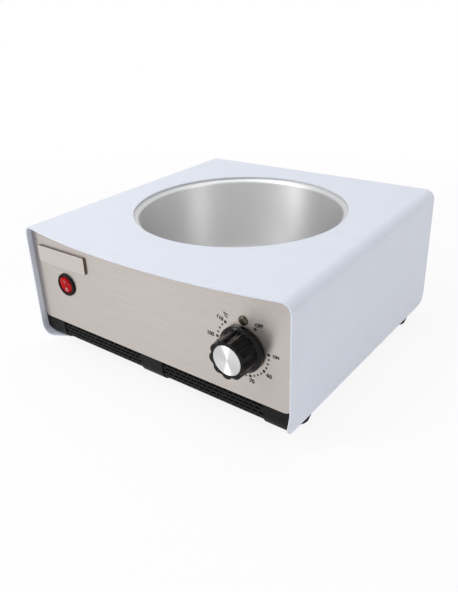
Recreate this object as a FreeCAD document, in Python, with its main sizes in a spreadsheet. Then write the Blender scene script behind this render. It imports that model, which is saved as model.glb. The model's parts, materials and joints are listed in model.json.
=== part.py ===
import FreeCAD, Part
import Sketcher
import math
import os
import re
from FreeCAD import Placement, Rotation, Vector

doc = FreeCAD.newDocument("WaxMelter")

# Every size of the melter in mm and degrees; a new size typed here moves all that depends on it.
sizes = {
    # casing, bent from one sheet, its top square to its front and its bottom level
    "shell_width": 300.0,
    "shell_depth": 300.0,
    "front_height": 123.3,
    "tilt": 3.8,
    "sheet": 1.5,
    "top_bend": 10.0,
    "bottom_bend": 14.0,
    "bottom_flange": 24.0,
    "corner_start": 2.0,
    "corner_cut": 12.5,
    "rear_flange": 14.0,
    "visor_bow": 15.3,
    "stud_radius": 2.0,
    "stud_length": 12.0,
    # well in the casing's top and the pot that hangs in it
    "well_radius": 108.5,
    "well_centre": 153.0,
    "gasket": 1.0,
    "gasket_setback": 0.5,
    "pot_flange": 116.0,
    "pot_radius": 102.3,
    "pot_wall": 2.0,
    "pot_depth": 91.5,
    "rim_slope": 30.0,
    "rim_round": 3.0,
    "pot_draft": 3.5,
    "pot_corner": 12.0,
    "clip_circle": 125.0,
    "clip_width": 16.0,
    "pot_stud_circle": 40.0,
    "pot_stud_length": 16.0,
    # heating and sensing under the pot
    "loose": 0.3,
    "element_circle": 70.0,
    "element_radius": 4.0,
    "element_sweep": 318.0,
    "element_elbow": 8.0,
    "element_pin": 1.5,
    "clamp_sheet": 1.2,
    "clamp_arm": 77.0,
    "clamp_arm_width": 16.0,
    "cutout_flange": 15.0,
    "cutout_radius": 8.0,
    "cutout_height": 10.0,
    "cutout_stud": 12.0,
    "bulb_radius": 3.0,
    "bulb_length": 64.0,
    "tube_radius": 1.0,
    "tube_drop": 110.5,
    "tube_bend": 8.0,
    "insulation": 9.0,
    "insulation_top": 14.0,
    "insulation_length": 72.0,
    # front plate and what it carries
    "panel_setback": 5.4,
    "panel_sheet": 1.2,
    "panel_gap": 0.5,
    "panel_bottom": 100.8,
    "panel_corner": 4.5,
    "panel_stud_edge": 139.0,
    "plate_width": 66.0,
    "plate_height": 17.0,
    "plate_thick": 2.0,
    "plate_place": 105.8,
    "plate_level": 28.2,
    "switch_place": 104.5,
    "dial_place": 103.0,
    "control_level": 55.0,
    "bracket_leg": 14.0,
    "bracket_top": 13.0,
    "bracket_length": 74.0,
    # moulded strip below the plate
    "strip_wall": 2.5,
    "strip_curl": 12.0,
    "strip_top": 93.0,
    "strip_back": 34.0,
    "window_start": 13.0,
    "window_width": 108.0,
    "window_sink": 1.1,
    "window_top": 102.0,
    "slot_length": 5.0,
    "slot_height": 1.9,
    "slot_pitch": 6.0,
    "slot_row": 3.9,
    "first_row": 104.7,
    # rocker switch
    "bezel_radius": 13.0,
    "bezel_height": 2.0,
    "barrel_radius": 11.0,
    "barrel_depth": 22.0,
    "cavity_radius": 10.1,
    "cavity_depth": 11.0,
    "rocker_radius": 9.8,
    "rocker_angle": 9.0,
    "rocker_pivot": 0.4,
    "rocker_pin": 1.2,
    "running_fit": 0.05,
    # control knob
    "skirt_radius": 20.0,
    "skirt_gap": 0.6,
    "skirt_top": 4.2,
    "grip_foot": 17.3,
    "grip_head": 16.2,
    "knob_height": 21.4,
    "lobe_span": 11.5,
    "lobe_depth": 0.955,
    "cap_radius": 13.1,
    "cap_thick": 0.9,
    "boss_radius": 8.0,
    "bush_radius": 5.0,
    "bush_length": 14.0,
    "shaft_radius": 3.0,
    "shaft_flat": 1.6,
    "pointer_angle": 29.6,
    # thermostat behind the plate
    "thermostat_width": 40.0,
    "thermostat_height": 36.0,
    "thermostat_depth": 22.0,
    "thermostat_neck": 4.7,
    "upper_screw": 25.2,
    "lower_screw": 14.0,
    "screw_aside": 1.5,
    # rear cover and cable gland
    "cover_half_width": 141.0,
    "cover_top": 6.0,
    "cover_clear": 6.0,
    "gland_place": 100.0,
    "gland_level": 112.0,
    "gland_bore": 3.7,
    "gland_thread": 6.0,
    "gland_hex": 9.5,
    "gland_collar": 5.0,
    "gland_reach": 14.0,
    "gland_cap": 8.6,
    # bottom plate and feet
    "base_sheet": 1.2,
    "base_half_width": 134.5,
    "base_front": 22.0,
    "base_back": 295.0,
    "foot_place": 130.0,
    "foot_front": 43.0,
    "foot_rear": 268.0,
    "foot_radius": 13.8,
    "foot_toe": 12.0,
    "foot_height": 8.0,
    # fasteners: M4 unless the name says small
    "screw_radius": 2.0,
    "screw_hole": 2.3,
    "screw_head": 3.6,
    "control_screw_head": 4.0,
    "screw_head_height": 2.4,
    "small_screw": 1.5,
    "small_hole": 1.8,
    "nut_across": 4.04,
    "nut_height": 3.2,
}

sheet = doc.addObject("Spreadsheet::Sheet", "Sizes")
for number, name in enumerate(sizes):
    sheet.set("A%d" % (number + 1), name)
    sheet.set("B%d" % (number + 1), str(sizes[name]))
    sheet.setAlias("B%d" % (number + 1), name)
doc.recompute()


# Turns the plain names in a formula into cells of the sheet.
def bound(text):
    return re.sub("[a-z_]+", lambda word: "Sizes." + word.group(0) if word.group(0) in sizes else word.group(0),
                  str(text))


def value(text):
    return float(sheet.evalExpression(bound(text)))


def new_body(label):
    body = doc.addObject("PartDesign::Body", label)
    body.Label = label
    return body


# A sketch on one of the body's own planes, moved along that plane's normal,
# and turned about its own x axis if the work is level while the body leans.
def sketch_on(body, role, offset="0", turn=None, shift=None):
    sketch = body.newObject("Sketcher::SketchObject", body.Name + "_sketch")
    plane = [item for item in body.Origin.OriginFeatures if item.Role == role][0]
    sketch.AttachmentSupport = [(plane, "")]
    sketch.MapMode = "FlatFace"
    if turn is not None:
        sketch.AttachmentOffset = Placement(Vector(0, 0, 0), Rotation(Vector(1, 0, 0), 1.0))
        sketch.setExpression("AttachmentOffset.Rotation.Angle", bound(turn))
    if shift is not None:
        sketch.setExpression("AttachmentOffset.Base.y", bound(shift))
    sketch.setExpression("AttachmentOffset.Base.z", bound(offset))
    return sketch


def hold(sketch, constraint, formula):
    index = sketch.addConstraint(constraint)
    sketch.setExpression("Constraints[%d]" % index, bound(formula))


# Arc between two points that turns left or right on its way.
def arc_between(start, finish, radius, left):
    along = finish - start
    side = Vector(-along.y, along.x, 0).normalize()
    rise = math.sqrt(max(radius ** 2 - (along.Length / 2) ** 2, 0))
    centre = (start + finish) * 0.5 + side * (rise if left else -rise)
    first, last = (start, finish) if left else (finish, start)
    angles = [math.atan2(spot.y - centre.y, spot.x - centre.x) for spot in (first, last)]
    return Part.ArcOfCircle(Part.Circle(centre, Vector(0, 0, 1), radius), angles[0], angles[1])


# Closed run of straight lines and arcs; a corner with a radius and a turn starts an arc.
def outline(sketch, corners):
    spots = [Vector(value(corner[0]), value(corner[1]), 0) for corner in corners]
    ends = []
    for index, corner in enumerate(corners):
        start = spots[index]
        finish = spots[(index + 1) % len(spots)]
        if len(corner) == 2:
            edge = sketch.addGeometry(Part.LineSegment(start, finish))
            ends.append((edge, 1, 2))
            continue
        left = corner[3] == "left"
        edge = sketch.addGeometry(arc_between(start, finish, value(corner[2]), left))
        ends.append((edge, 1, 2) if left else (edge, 2, 1))
    for index, corner in enumerate(corners):
        edge, start, finish = ends[index]
        following = ends[(index + 1) % len(ends)]
        sketch.addConstraint(meeting(edge, finish, following[0], following[1]))
        hold(sketch, across_by(edge, start, spots[index].x), corner[0])
        hold(sketch, up_by(edge, start, spots[index].y), corner[1])
        if len(corner) == 4:
            hold(sketch, radius_by(edge, value(corner[2])), corner[2])


def circle(sketch, across, up, radius):
    centre = Vector(value(across), value(up), 0)
    edge = sketch.addGeometry(Part.Circle(centre, Vector(0, 0, 1), value(radius)))
    hold(sketch, across_by(edge, 3, centre.x), across)
    hold(sketch, up_by(edge, 3, centre.y), up)
    hold(sketch, radius_by(edge, value(radius)), radius)


def rectangle(sketch, left, bottom, right, top):
    outline(sketch, [(left, bottom), (right, bottom), (right, top), (left, top)])


def round_rectangle(sketch, left, bottom, right, top, radius):
    outline(sketch, [
        ("%s+%s" % (left, radius), bottom),
        ("%s-%s" % (right, radius), bottom, radius, "left"),
        (right, "%s+%s" % (bottom, radius)),
        (right, "%s-%s" % (top, radius), radius, "left"),
        ("%s-%s" % (right, radius), top),
        ("%s+%s" % (left, radius), top, radius, "left"),
        (left, "%s-%s" % (top, radius)),
        (left, "%s+%s" % (bottom, radius), radius, "left"),
    ])


def meeting(edge, end, other, other_end):
    return Sketcher.Constraint("Coincident", edge, end, other, other_end)


def across_by(edge, end, distance):
    return Sketcher.Constraint("DistanceX", -1, 1, edge, end, distance)


def up_by(edge, end, distance):
    return Sketcher.Constraint("DistanceY", -1, 1, edge, end, distance)


def radius_by(edge, radius):
    return Sketcher.Constraint("Radius", edge, radius)


def pad(body, sketch, length, turned=False, both=False):
    feature = body.newObject("PartDesign::Pad", body.Name + "_pad")
    feature.Profile = sketch
    feature.Reversed = turned
    if both:
        feature.SideType = "Symmetric"
    feature.setExpression("Length", bound(length))
    return feature


# A cut has to take something away, so its direction is tested by the volume.
def pocket(body, sketch, length, turned=False, both=False):
    doc.recompute()
    before = body.Shape.Volume
    feature = body.newObject("PartDesign::Pocket", body.Name + "_pocket")
    feature.Profile = sketch
    feature.Reversed = turned
    if both:
        feature.SideType = "Symmetric"
    feature.setExpression("Length", bound(length))
    doc.recompute()
    if body.Shape.Volume > before - 0.01:
        raise ValueError("a pocket of %s cuts nothing" % body.Label)
    return feature


def revolve(body, sketch, axis="V_Axis"):
    feature = body.newObject("PartDesign::Revolution", body.Name + "_turned")
    feature.Profile = sketch
    feature.ReferenceAxis = (sketch, [axis])
    feature.Angle = 360
    return feature


def row_of(body, sketch, feature, count, length):
    pattern = body.newObject("PartDesign::LinearPattern", body.Name + "_row")
    pattern.Originals = [feature]
    pattern.Direction = (sketch, ["H_Axis"])
    pattern.Occurrences = count
    pattern.setExpression("Length", bound(length))
    body.Tip = pattern
    return pattern


def ring_of(body, sketch, feature, count):
    pattern = body.newObject("PartDesign::PolarPattern", body.Name + "_ring")
    pattern.Originals = [feature]
    pattern.Axis = (sketch, ["N_Axis"])
    pattern.Angle = 360
    pattern.Occurrences = count
    body.Tip = pattern
    return pattern


# Rounds the edges that a test picks out.
def round_edges(body, radius, test):
    doc.recompute()
    base = body.Tip
    names = ["Edge%d" % (index + 1) for index, edge in enumerate(base.Shape.Edges) if test(edge)]
    if not names:
        raise ValueError("no edge of %s to round" % body.Label)
    feature = body.newObject("PartDesign::Fillet", body.Name + "_round")
    feature.Base = (base, names)
    feature.Radius = radius
    return feature


sub_parts = {}


def place(label, piece, frame):
    piece.Label = label
    piece.Placement = frame
    sub_parts[label] = piece


# Same fastener or clip in several places: separate solids under one name.
def group(label, master, frames):
    links = []
    for frame in frames:
        link = doc.addObject("App::Link", label + "_piece")
        link.LinkedObject = master
        link.Placement = frame
        links.append(link)
    bundle = doc.addObject("Part::Compound", label)
    bundle.Links = links
    place(label, bundle, Placement())


# Frames. The level frame has its origin under the casing's front edge; the leaning one lies
# in the casing's top with y to the back; a control frame stands on the front plate.
def turned_frame(across, back, up, axis=Vector(1, 0, 0), angle=0.0):
    return Placement(Vector(across, back, up), Rotation(axis, angle))


level = Placement()
leaning = turned_frame(0, value("-front_height*sin(tilt)"), value("front_height*cos(tilt)"), angle=value("tilt"))


def leaning_at(across, back, up, axis=Vector(1, 0, 0), angle=0.0):
    return leaning.multiply(turned_frame(across, back, up, axis, angle))


pot_frame = leaning_at(0, value("well_centre"), 0)


def control_frame(across):
    return leaning_at(across, value("panel_setback"), value("-control_level"), angle=90)


def control_at(frame, across, up, out, axis=Vector(1, 0, 0), angle=0.0):
    return frame.multiply(turned_frame(across, up, out, axis, angle))


# masters of the fasteners: axis along z, a screw's head above z = 0


def make_screw(label, radius, length, head, head_height):
    body = new_body(label)
    sketch = sketch_on(body, "XZ_Plane")
    outline(sketch, [
        ("0", "-(%s)" % length),
        (radius, "-(%s)" % length),
        (radius, "0"),
        (head, "0"),
        (head, "%s*0.4" % head_height, "%s*0.62" % head, "left"),
        ("%s*0.5" % head, head_height),
        ("0", head_height),
    ])
    revolve(body, sketch)
    sketch = sketch_on(body, "XY_Plane", head_height)
    arm = "%s*0.52" % head
    slot = "%s*0.11" % head
    outline(sketch, [
        ("-" + slot, "-" + arm), (slot, "-" + arm), (slot, "-" + slot), (arm, "-" + slot),
        (arm, slot), (slot, slot), (slot, arm), ("-" + slot, arm),
        ("-" + slot, slot), ("-" + arm, slot), ("-" + arm, "-" + slot), ("-" + slot, "-" + slot),
    ])
    pocket(body, sketch, "%s*0.6" % head_height)
    return body


def make_nut(label, across, bore, height):
    body = new_body(label)
    sketch = sketch_on(body, "XY_Plane")
    outline(sketch, [("%s*cos(%d)" % (across, turn), "%s*sin(%d)" % (across, turn)) for turn in range(0, 360, 60)])
    circle(sketch, "0", "0", bore)
    pad(body, sketch, height)
    return body


nut = make_nut("nut_master", "nut_across", "screw_radius+running_fit", "nut_height")
small_nut = make_nut("small_nut_master", "nut_across*0.78", "small_screw+running_fit", "nut_height*0.75")

# casing

shell = new_body("outer_shell")
half = "shell_width/2"
upper_reach = "front_height-32"
sketch = sketch_on(shell, "XZ_Plane", "-shell_depth")
outline(sketch, [
    ("-" + half, "-(%s)" % upper_reach),
    ("-" + half, "-top_bend", "top_bend", "right"),
    ("top_bend-" + half, "0"),
    (half + "-top_bend", "0", "top_bend", "right"),
    (half, "-top_bend"),
    (half, "-(%s)" % upper_reach),
    (half + "-sheet", "-(%s)" % upper_reach),
    (half + "-sheet", "-top_bend", "top_bend-sheet", "left"),
    (half + "-top_bend", "-sheet"),
    ("top_bend-" + half, "-sheet", "top_bend-sheet", "left"),
    ("sheet-" + half, "-top_bend"),
    ("sheet-" + half, "-(%s)" % upper_reach),
])
pad(shell, sketch, "shell_depth+visor_bow+5")
# lower walls, bent level under the leaning box
for side in ("-", ""):
    sketch = sketch_on(shell, "XZ_Plane", "-(shell_depth+20)*cos(tilt)", "-tilt",
                       "-front_height-(shell_depth+20)*sin(tilt)")
    turn = "right" if side else "left"
    back_turn = "left" if side else "right"
    outline(sketch, [
        (side + "(%s-bottom_flange)" % half, "0"),
        (side + "(%s-bottom_bend)" % half, "0", "bottom_bend", turn),
        (side + "(%s)" % half, "bottom_bend"),
        (side + "(%s)" % half, "front_height/2"),
        (side + "(%s-sheet)" % half, "front_height/2"),
        (side + "(%s-sheet)" % half, "bottom_bend", "bottom_bend-sheet", back_turn),
        (side + "(%s-bottom_bend)" % half, "sheet"),
        (side + "(%s-bottom_flange)" % half, "sheet"),
    ])
    pad(shell, sketch, "shell_depth+60")
# front and rear edges of the walls, square to the top
sketch = sketch_on(shell, "XZ_Plane", "-shell_depth")
rectangle(sketch, "-shell_width", "-front_height*2", "shell_width", "front_height")
pocket(shell, sketch, "60")
sketch = sketch_on(shell, "XZ_Plane")
rectangle(sketch, "-shell_width", "-front_height*2", "shell_width", "-top_bend")
pocket(shell, sketch, "60", turned=True)
# front corners of the bottom flanges, cut back on a slant from the bends
for side in ("-", ""):
    sketch = sketch_on(shell, "XY_Plane", "bottom_bend+1-front_height")
    outline(sketch, [
        (side + "(%s-corner_start)" % half, "0"),
        (side + "(%s-bottom_flange-1)" % half, "corner_cut"),
        (side + "(%s-bottom_flange-1)" % half, "-10"),
        (side + "(%s-corner_start)" % half, "-10"),
    ])
    pocket(shell, sketch, "bottom_bend+20")
# front edge of the top, bowed out
sketch = sketch_on(shell, "XY_Plane", "5")
chord = "(%s-sheet)" % half
outline(sketch, [
    ("-shell_width", "0"),
    ("-" + chord, "0", "(%s^2+visor_bow^2)/(2*visor_bow)" % chord, "left"),
    (chord, "0"),
    ("shell_width", "0"),
    ("shell_width", "-visor_bow*3"),
    ("-shell_width", "-visor_bow*3"),
])
pocket(shell, sketch, "40")
sketch = sketch_on(shell, "XY_Plane")
circle(sketch, "0", "well_centre", "well_radius")
pocket(shell, sketch, "10")
# rear edges turned in to carry the cover
sketch = sketch_on(shell, "XZ_Plane", "-shell_depth")
flange_foot = "-front_height-shell_depth*tan(tilt)+bottom_bend+2"
inner_flange = "(%s-sheet-rear_flange)" % half
rectangle(sketch, "sheet/2-" + half, flange_foot, "-" + inner_flange, "-top_bend-4")
rectangle(sketch, inner_flange, flange_foot, half + "-sheet/2", "-top_bend-4")
rectangle(sketch, "top_bend+4-" + half, "-sheet-rear_flange", half + "-top_bend-4", "-sheet/2")
pad(shell, sketch, "sheet")
sketch = sketch_on(shell, "XZ_Plane", "-shell_depth")
cover_screws = [("-137", "-36"), ("137", "-36"), ("-137", "-100"), ("137", "-100"), ("-70", "-10.5"), ("70", "-10.5")]
for across, up in cover_screws:
    circle(sketch, across, up, "screw_radius+running_fit")
pocket(shell, sketch, "4", turned=True)
# welded studs for the pot's clips
clip_turns = [45, 135, 225, 315]
sketch = sketch_on(shell, "XY_Plane", "-sheet/2")
for turn in clip_turns:
    circle(sketch, "clip_circle*cos(%d)" % turn, "well_centre+clip_circle*sin(%d)" % turn, "stud_radius")
pad(shell, sketch, "stud_length+sheet/2", turned=True)
# screw holes in the level bottom flanges
flange_screws = [("-foot_place", "110"), ("foot_place", "110"), ("-foot_place", "200"), ("foot_place", "200")]
feet = {
    "foot_front_left": ("-foot_place", "foot_front"),
    "foot_front_right": ("foot_place", "foot_front"),
    "foot_rear_left": ("-foot_place", "foot_rear"),
    "foot_rear_right": ("foot_place", "foot_rear"),
}
sketch = sketch_on(shell, "XY_Plane", "-front_height-3*cos(tilt)", "-tilt", "-3*sin(tilt)")
for across, back in flange_screws + list(feet.values()):
    circle(sketch, across, back, "screw_hole")
pocket(shell, sketch, "8", turned=True)
place("outer_shell", shell, leaning)

# front plate

panel = new_body("front_panel")
sketch = sketch_on(panel, "XZ_Plane", "-panel_setback")
edge = "(%s-sheet-panel_gap)" % half
panel_round = "(top_bend-sheet-panel_gap)"
outline(sketch, [
    ("panel_corner-" + edge, "-panel_bottom"),
    (edge + "-panel_corner", "-panel_bottom", "panel_corner", "left"),
    (edge, "panel_corner-panel_bottom"),
    (edge, "-top_bend", panel_round, "left"),
    (half + "-top_bend", "-sheet-panel_gap"),
    ("top_bend-" + half, "-sheet-panel_gap", panel_round, "left"),
    ("-" + edge, "-top_bend"),
    ("-" + edge, "panel_corner-panel_bottom", "panel_corner", "left"),
])
circle(sketch, "-switch_place", "-control_level", "barrel_radius+loose")
circle(sketch, "dial_place", "-control_level", "thermostat_neck+loose")
circle(sketch, "dial_place+screw_aside", "upper_screw-control_level", "screw_hole")
circle(sketch, "dial_place+screw_aside", "-control_level-lower_screw", "screw_hole")
pad(panel, sketch, "panel_sheet", turned=True)
panel_studs = [("-panel_stud_edge", "-26"), ("panel_stud_edge", "-26"), ("-panel_stud_edge", "-74"),
               ("panel_stud_edge", "-74")]
sketch = sketch_on(panel, "XZ_Plane", "-panel_setback-panel_sheet/2")
for across, up in panel_studs:
    circle(sketch, across, up, "stud_radius")
pad(panel, sketch, "stud_length-2", turned=True)
place("front_panel", panel, leaning)

for label, sign in (("panel_bracket_left", "-"), ("panel_bracket_right", "")):
    bracket = new_body(label)
    sketch = sketch_on(bracket, "XY_Plane", "-bracket_top")
    wall = sign + "(%s-sheet)" % half
    leg = sign + "(%s-sheet-bracket_leg)" % half
    inner = sign + "(%s-sheet-panel_sheet)" % half
    outline(sketch, [
        (leg, "panel_setback+panel_sheet"),
        (wall, "panel_setback+panel_sheet"),
        (wall, "panel_setback+panel_sheet+bracket_leg"),
        (inner, "panel_setback+panel_sheet+bracket_leg"),
        (inner, "panel_setback+panel_sheet*2"),
        (leg, "panel_setback+panel_sheet*2"),
    ])
    pad(bracket, sketch, "bracket_length", turned=True)
    sketch = sketch_on(bracket, "XZ_Plane")
    for across, up in panel_studs:
        if across.startswith("-") == (sign == "-"):
            circle(sketch, across, up, "screw_hole")
    pocket(bracket, sketch, "20")
    place(label, bracket, leaning)

nut_rest = value("panel_setback+panel_sheet*2")
group("panel_nuts", nut, [
    leaning_at(value(across), nut_rest, value(up), angle=-90) for across, up in panel_studs])

plate = new_body("name_plate")
sketch = sketch_on(plate, "XZ_Plane", "-panel_setback")
round_rectangle(sketch, "(-plate_place-plate_width/2)", "(-plate_level-plate_height/2)",
                "(plate_width/2-plate_place)", "(plate_height/2-plate_level)", "1.6")
pad(plate, sketch, "plate_thick")
front_of_plate = value("panel_setback-plate_thick")
round_edges(plate, 0.5, lambda edge: abs(edge.BoundBox.YMax - front_of_plate) < 0.01)
place("name_plate", plate, leaning)

# moulded strip: a straight face behind the plate's edge, curling under to a level flange

strip = new_body("vent_strip")
face = "(panel_setback+panel_sheet)"
curl_back = "((strip_curl+%s-strip_curl*sin(tilt))/cos(tilt))" % face


# point at a distance behind the plate's front plane and at a height measured along that plane
def on_face(depth, height):
    return ("(%s)*cos(tilt)-(%s)*sin(tilt)" % (depth, height), "(%s)*sin(tilt)+(%s)*cos(tilt)" % (depth, height))


# point on the curl, by its radius and the angle run from the straight face
def on_curl(radius, angle):
    return ("%s-(%s)*cos(tilt+%s)" % (curl_back, radius, angle), "strip_curl-(%s)*sin(tilt+%s)" % (radius, angle))


sketch = sketch_on(strip, "YZ_Plane")
outline(sketch, [
    on_face(face, "front_height-strip_top"),
    on_curl("strip_curl", "0") + ("strip_curl", "left"),
    (curl_back, "0"),
    ("strip_back", "0"),
    ("strip_back", "sheet"),
    (curl_back + "+2", "sheet"),
    (curl_back, "strip_wall", "strip_curl-strip_wall", "right"),
    on_curl("strip_curl-strip_wall", "0"),
    on_face(face + "+strip_wall", "front_height-strip_top"),
])
pad(strip, sketch, "(%s-sheet-loose)*2" % half, both=True)
# ends shaped to the casing's bent bottom corners
sketch = sketch_on(strip, "XZ_Plane", "20")
for sign, turn in (("-", "right"), ("", "left")):
    outline(sketch, [
        (sign + "(%s-bottom_flange-loose)" % half, "-10"),
        (sign + "(%s-bottom_flange-loose)" % half, "sheet+loose"),
        (sign + "(%s-bottom_bend)" % half, "sheet+loose", "bottom_bend-sheet-loose", turn),
        (sign + "(%s-sheet-loose)" % half, "bottom_bend"),
        (sign + "(%s+5)" % half, "bottom_bend"),
        (sign + "(%s+5)" % half, "-10"),
    ])
pocket(strip, sketch, "90")
# sunk windows
for start, turned in (("window_start", True), ("-window_start", False)):
    sketch = sketch_on(strip, "YZ_Plane", start)
    outline(sketch, [
        on_face(face + "-2", "front_height-window_top"),
        on_curl("(strip_curl+2)", "0") + ("strip_curl+2", "left"),
        on_curl("(strip_curl+2)", "74"),
        on_curl("(strip_curl-window_sink)", "74") + ("strip_curl-window_sink", "right"),
        on_curl("(strip_curl-window_sink)", "0"),
        on_face(face + "+window_sink", "front_height-window_top"),
    ])
    pocket(strip, sketch, "window_width", turned=turned)
# brick pattern of slots, row under row down the face and round the curl
straight_end = value("strip_curl*cos(tilt)-%s*sin(tilt)" % curl_back)
for number in range(6):
    height = value("front_height-first_row-slot_row*%d" % number)
    angle = math.degrees((straight_end - height) / value("strip_curl"))
    if angle < 0:
        back, up = [value(formula) for formula in on_face(face + "-1", str(height))]
        angle = 0.0
    else:
        back, up = [value(formula) for formula in on_curl("(strip_curl+1)", str(angle))]
    sketch = sketch_on(strip, "XZ_Plane", str(-back), "tilt+%s" % angle, str(up))
    staggered = number % 2
    first = "(window_start+slot_pitch*%s-slot_length/2)" % (1.0 if staggered else 0.5)
    count = int(value("window_width/slot_pitch")) - staggered
    run = "slot_pitch*%d" % (count - 1)
    rectangle(sketch, first, "-slot_height/2", first + "+slot_length", "slot_height/2")
    rectangle(sketch, "-%s-slot_length-%s" % (first, run), "-slot_height/2", "-%s-%s" % (first, run), "slot_height/2")
    cut = pocket(strip, sketch, "strip_wall+3")
    row_of(strip, sketch, cut, count, run)
strip_screw_places = [("-100", "28"), ("-34", "28"), ("34", "28"), ("100", "28")]
sketch = sketch_on(strip, "XY_Plane", "-2")
for across, back in strip_screw_places:
    circle(sketch, across, back, "small_hole")
pocket(strip, sketch, "8", turned=True)
place("vent_strip", strip, level)

# rocker switch, in the plate's left hole

switch_frame = control_frame(value("-switch_place"))
housing = new_body("switch_housing")
sketch = sketch_on(housing, "XZ_Plane")
outline(sketch, [
    ("0", "-barrel_depth"),
    ("barrel_radius", "-barrel_depth"),
    ("barrel_radius", "0"),
    ("bezel_radius", "0"),
    ("bezel_radius", "bezel_height-1.2", "1.2", "left"),
    ("bezel_radius-1.2", "bezel_height"),
    ("cavity_radius+0.5", "bezel_height"),
    ("cavity_radius", "bezel_height-0.5"),
    ("cavity_radius", "-cavity_depth"),
    ("0", "-cavity_depth"),
])
revolve(housing, sketch)
sketch = sketch_on(housing, "YZ_Plane")
circle(sketch, "0", "-rocker_pivot", "rocker_pin+running_fit")
pocket(housing, sketch, "barrel_radius*2-0.1", both=True)
place("switch_housing", housing, switch_frame)

rocker = new_body("switch_rocker")
sketch = sketch_on(rocker, "XZ_Plane")
outline(sketch, [
    ("0", "-7"),
    ("sqrt(rocker_radius^2-49)", "-7", "rocker_radius", "left"),
    ("0", "rocker_radius"),
])
revolve(rocker, sketch)
sketch = sketch_on(rocker, "YZ_Plane")
valley = "(rocker_pivot+bezel_height-0.5)"
rise = "(%s+rocker_radius*1.2*tan(rocker_angle))" % valley
outline(sketch, [
    ("-rocker_radius*1.2", rise),
    ("0", valley),
    ("rocker_radius*1.2", rise),
    ("rocker_radius*1.2", "rocker_radius*1.5"),
    ("-rocker_radius*1.2", "rocker_radius*1.5"),
])
pocket(rocker, sketch, "rocker_radius*3", both=True)
sketch = sketch_on(rocker, "YZ_Plane")
circle(sketch, "0", "0", "rocker_pin")
pad(rocker, sketch, "barrel_radius*2-0.5", both=True)
place("switch_rocker", rocker,
      control_at(switch_frame, 0, 0, value("-rocker_pivot"), angle=value("rocker_angle")))

blade = new_body("blade_master")
sketch = sketch_on(blade, "XZ_Plane")
outline(sketch, [("-2.4", "-8"), ("-1.2", "-9"), ("1.2", "-9"), ("2.4", "-8"), ("2.4", "0"), ("-2.4", "0")])
circle(sketch, "0", "-6", "0.8")
pad(blade, sketch, "0.8", both=True)
group("switch_terminals", blade, [
    control_at(switch_frame, 0, up, value("-barrel_depth")) for up in (-6.5, 0, 6.5)])

# control knob, its pointer upwards in its own frame

dial_frame = control_frame(value("dial_place"))
knob_frame = control_at(dial_frame, 0, 0, 0, Vector(0, 0, -1), value("pointer_angle"))
knob = new_body("knob_body")
sketch = sketch_on(knob, "XZ_Plane")
outline(sketch, [
    ("0", "skirt_top-1"),
    ("skirt_radius-1.3", "skirt_top-1"),
    ("skirt_radius-1.3", "skirt_gap"),
    ("skirt_radius", "skirt_gap"),
    ("skirt_radius", "skirt_top-0.9", "0.9", "left"),
    ("skirt_radius-0.9", "skirt_top"),
    ("grip_foot+1.4", "skirt_top+0.5"),
    ("0", "skirt_top+0.5"),
])
revolve(knob, sketch)


# ten rounded lobes with hollows between them
def lobes(sketch, radius):
    corners = []
    for number in range(10):
        middle = 36 * number + 90
        lobe_ends = ["%d-lobe_span" % middle, "%d+lobe_span" % middle]
        low = "%s*lobe_depth" % radius
        corners.append(("%s*cos(%s)" % (low, lobe_ends[0]), "%s*sin(%s)" % (low, lobe_ends[0]), "%s*0.25" % radius,
                        "left"))
        corners.append(("%s*cos(%s)" % (low, lobe_ends[1]), "%s*sin(%s)" % (low, lobe_ends[1]), "%s*0.14" % radius,
                        "right"))
    outline(sketch, corners)


foot_lobes = sketch_on(knob, "XY_Plane", "skirt_top-0.5")
lobes(foot_lobes, "grip_foot")
head_lobes = sketch_on(knob, "XY_Plane", "knob_height")
lobes(head_lobes, "grip_head")
loft = knob.newObject("PartDesign::AdditiveLoft", "knob_grip")
loft.Profile = foot_lobes
loft.Sections = [head_lobes]
loft.Ruled = True
knob_top = value("knob_height")
round_edges(knob, 0.6, lambda edge: edge.BoundBox.ZMin > knob_top - 0.01)
sketch = sketch_on(knob, "XY_Plane", "knob_height")
circle(sketch, "0", "0", "cap_radius+0.15")
pocket(knob, sketch, "cap_thick+0.5")
# hollow underside round the boss
sketch = sketch_on(knob, "XY_Plane")
circle(sketch, "0", "0", "grip_head*lobe_depth-2.2")
circle(sketch, "0", "0", "boss_radius")
pocket(knob, sketch, "knob_height-4.5", turned=True)
sketch = sketch_on(knob, "XY_Plane")
circle(sketch, "0", "0", "boss_radius")
pad(knob, sketch, "skirt_top")
sketch = sketch_on(knob, "XY_Plane")
circle(sketch, "0", "0", "boss_radius+1")
pocket(knob, sketch, "skirt_gap+1.2", turned=True)
sketch = sketch_on(knob, "XY_Plane")
circle(sketch, "0", "0", "bush_radius+running_fit")
pocket(knob, sketch, "skirt_gap+1.2+bush_length", turned=True)
grub_level = "(skirt_top+6)"
sketch = sketch_on(knob, "XZ_Plane")
circle(sketch, "0", grub_level, "small_screw+running_fit")
pocket(knob, sketch, "grip_foot+3", turned=True)
# raised pointer rib on the skirt
sketch = sketch_on(knob, "XY_Plane", "skirt_top-0.3")
rectangle(sketch, "-0.7", "grip_foot*lobe_depth", "0.7", "skirt_radius-1")
pad(knob, sketch, "0.9")
place("knob_body", knob, knob_frame)

cap = new_body("knob_cap")
sketch = sketch_on(cap, "XZ_Plane")
cap_seat = "(knob_height-cap_thick-0.5)"
outline(sketch, [
    ("0", cap_seat),
    ("cap_radius", cap_seat),
    ("cap_radius", cap_seat + "+cap_thick-0.25"),
    ("cap_radius-0.25", cap_seat + "+cap_thick"),
    ("cap_radius-1.4", cap_seat + "+cap_thick", "90", "right"),
    ("0", cap_seat + "+cap_thick*0.45"),
])
revolve(cap, sketch)
place("knob_cap", cap, knob_frame)

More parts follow.
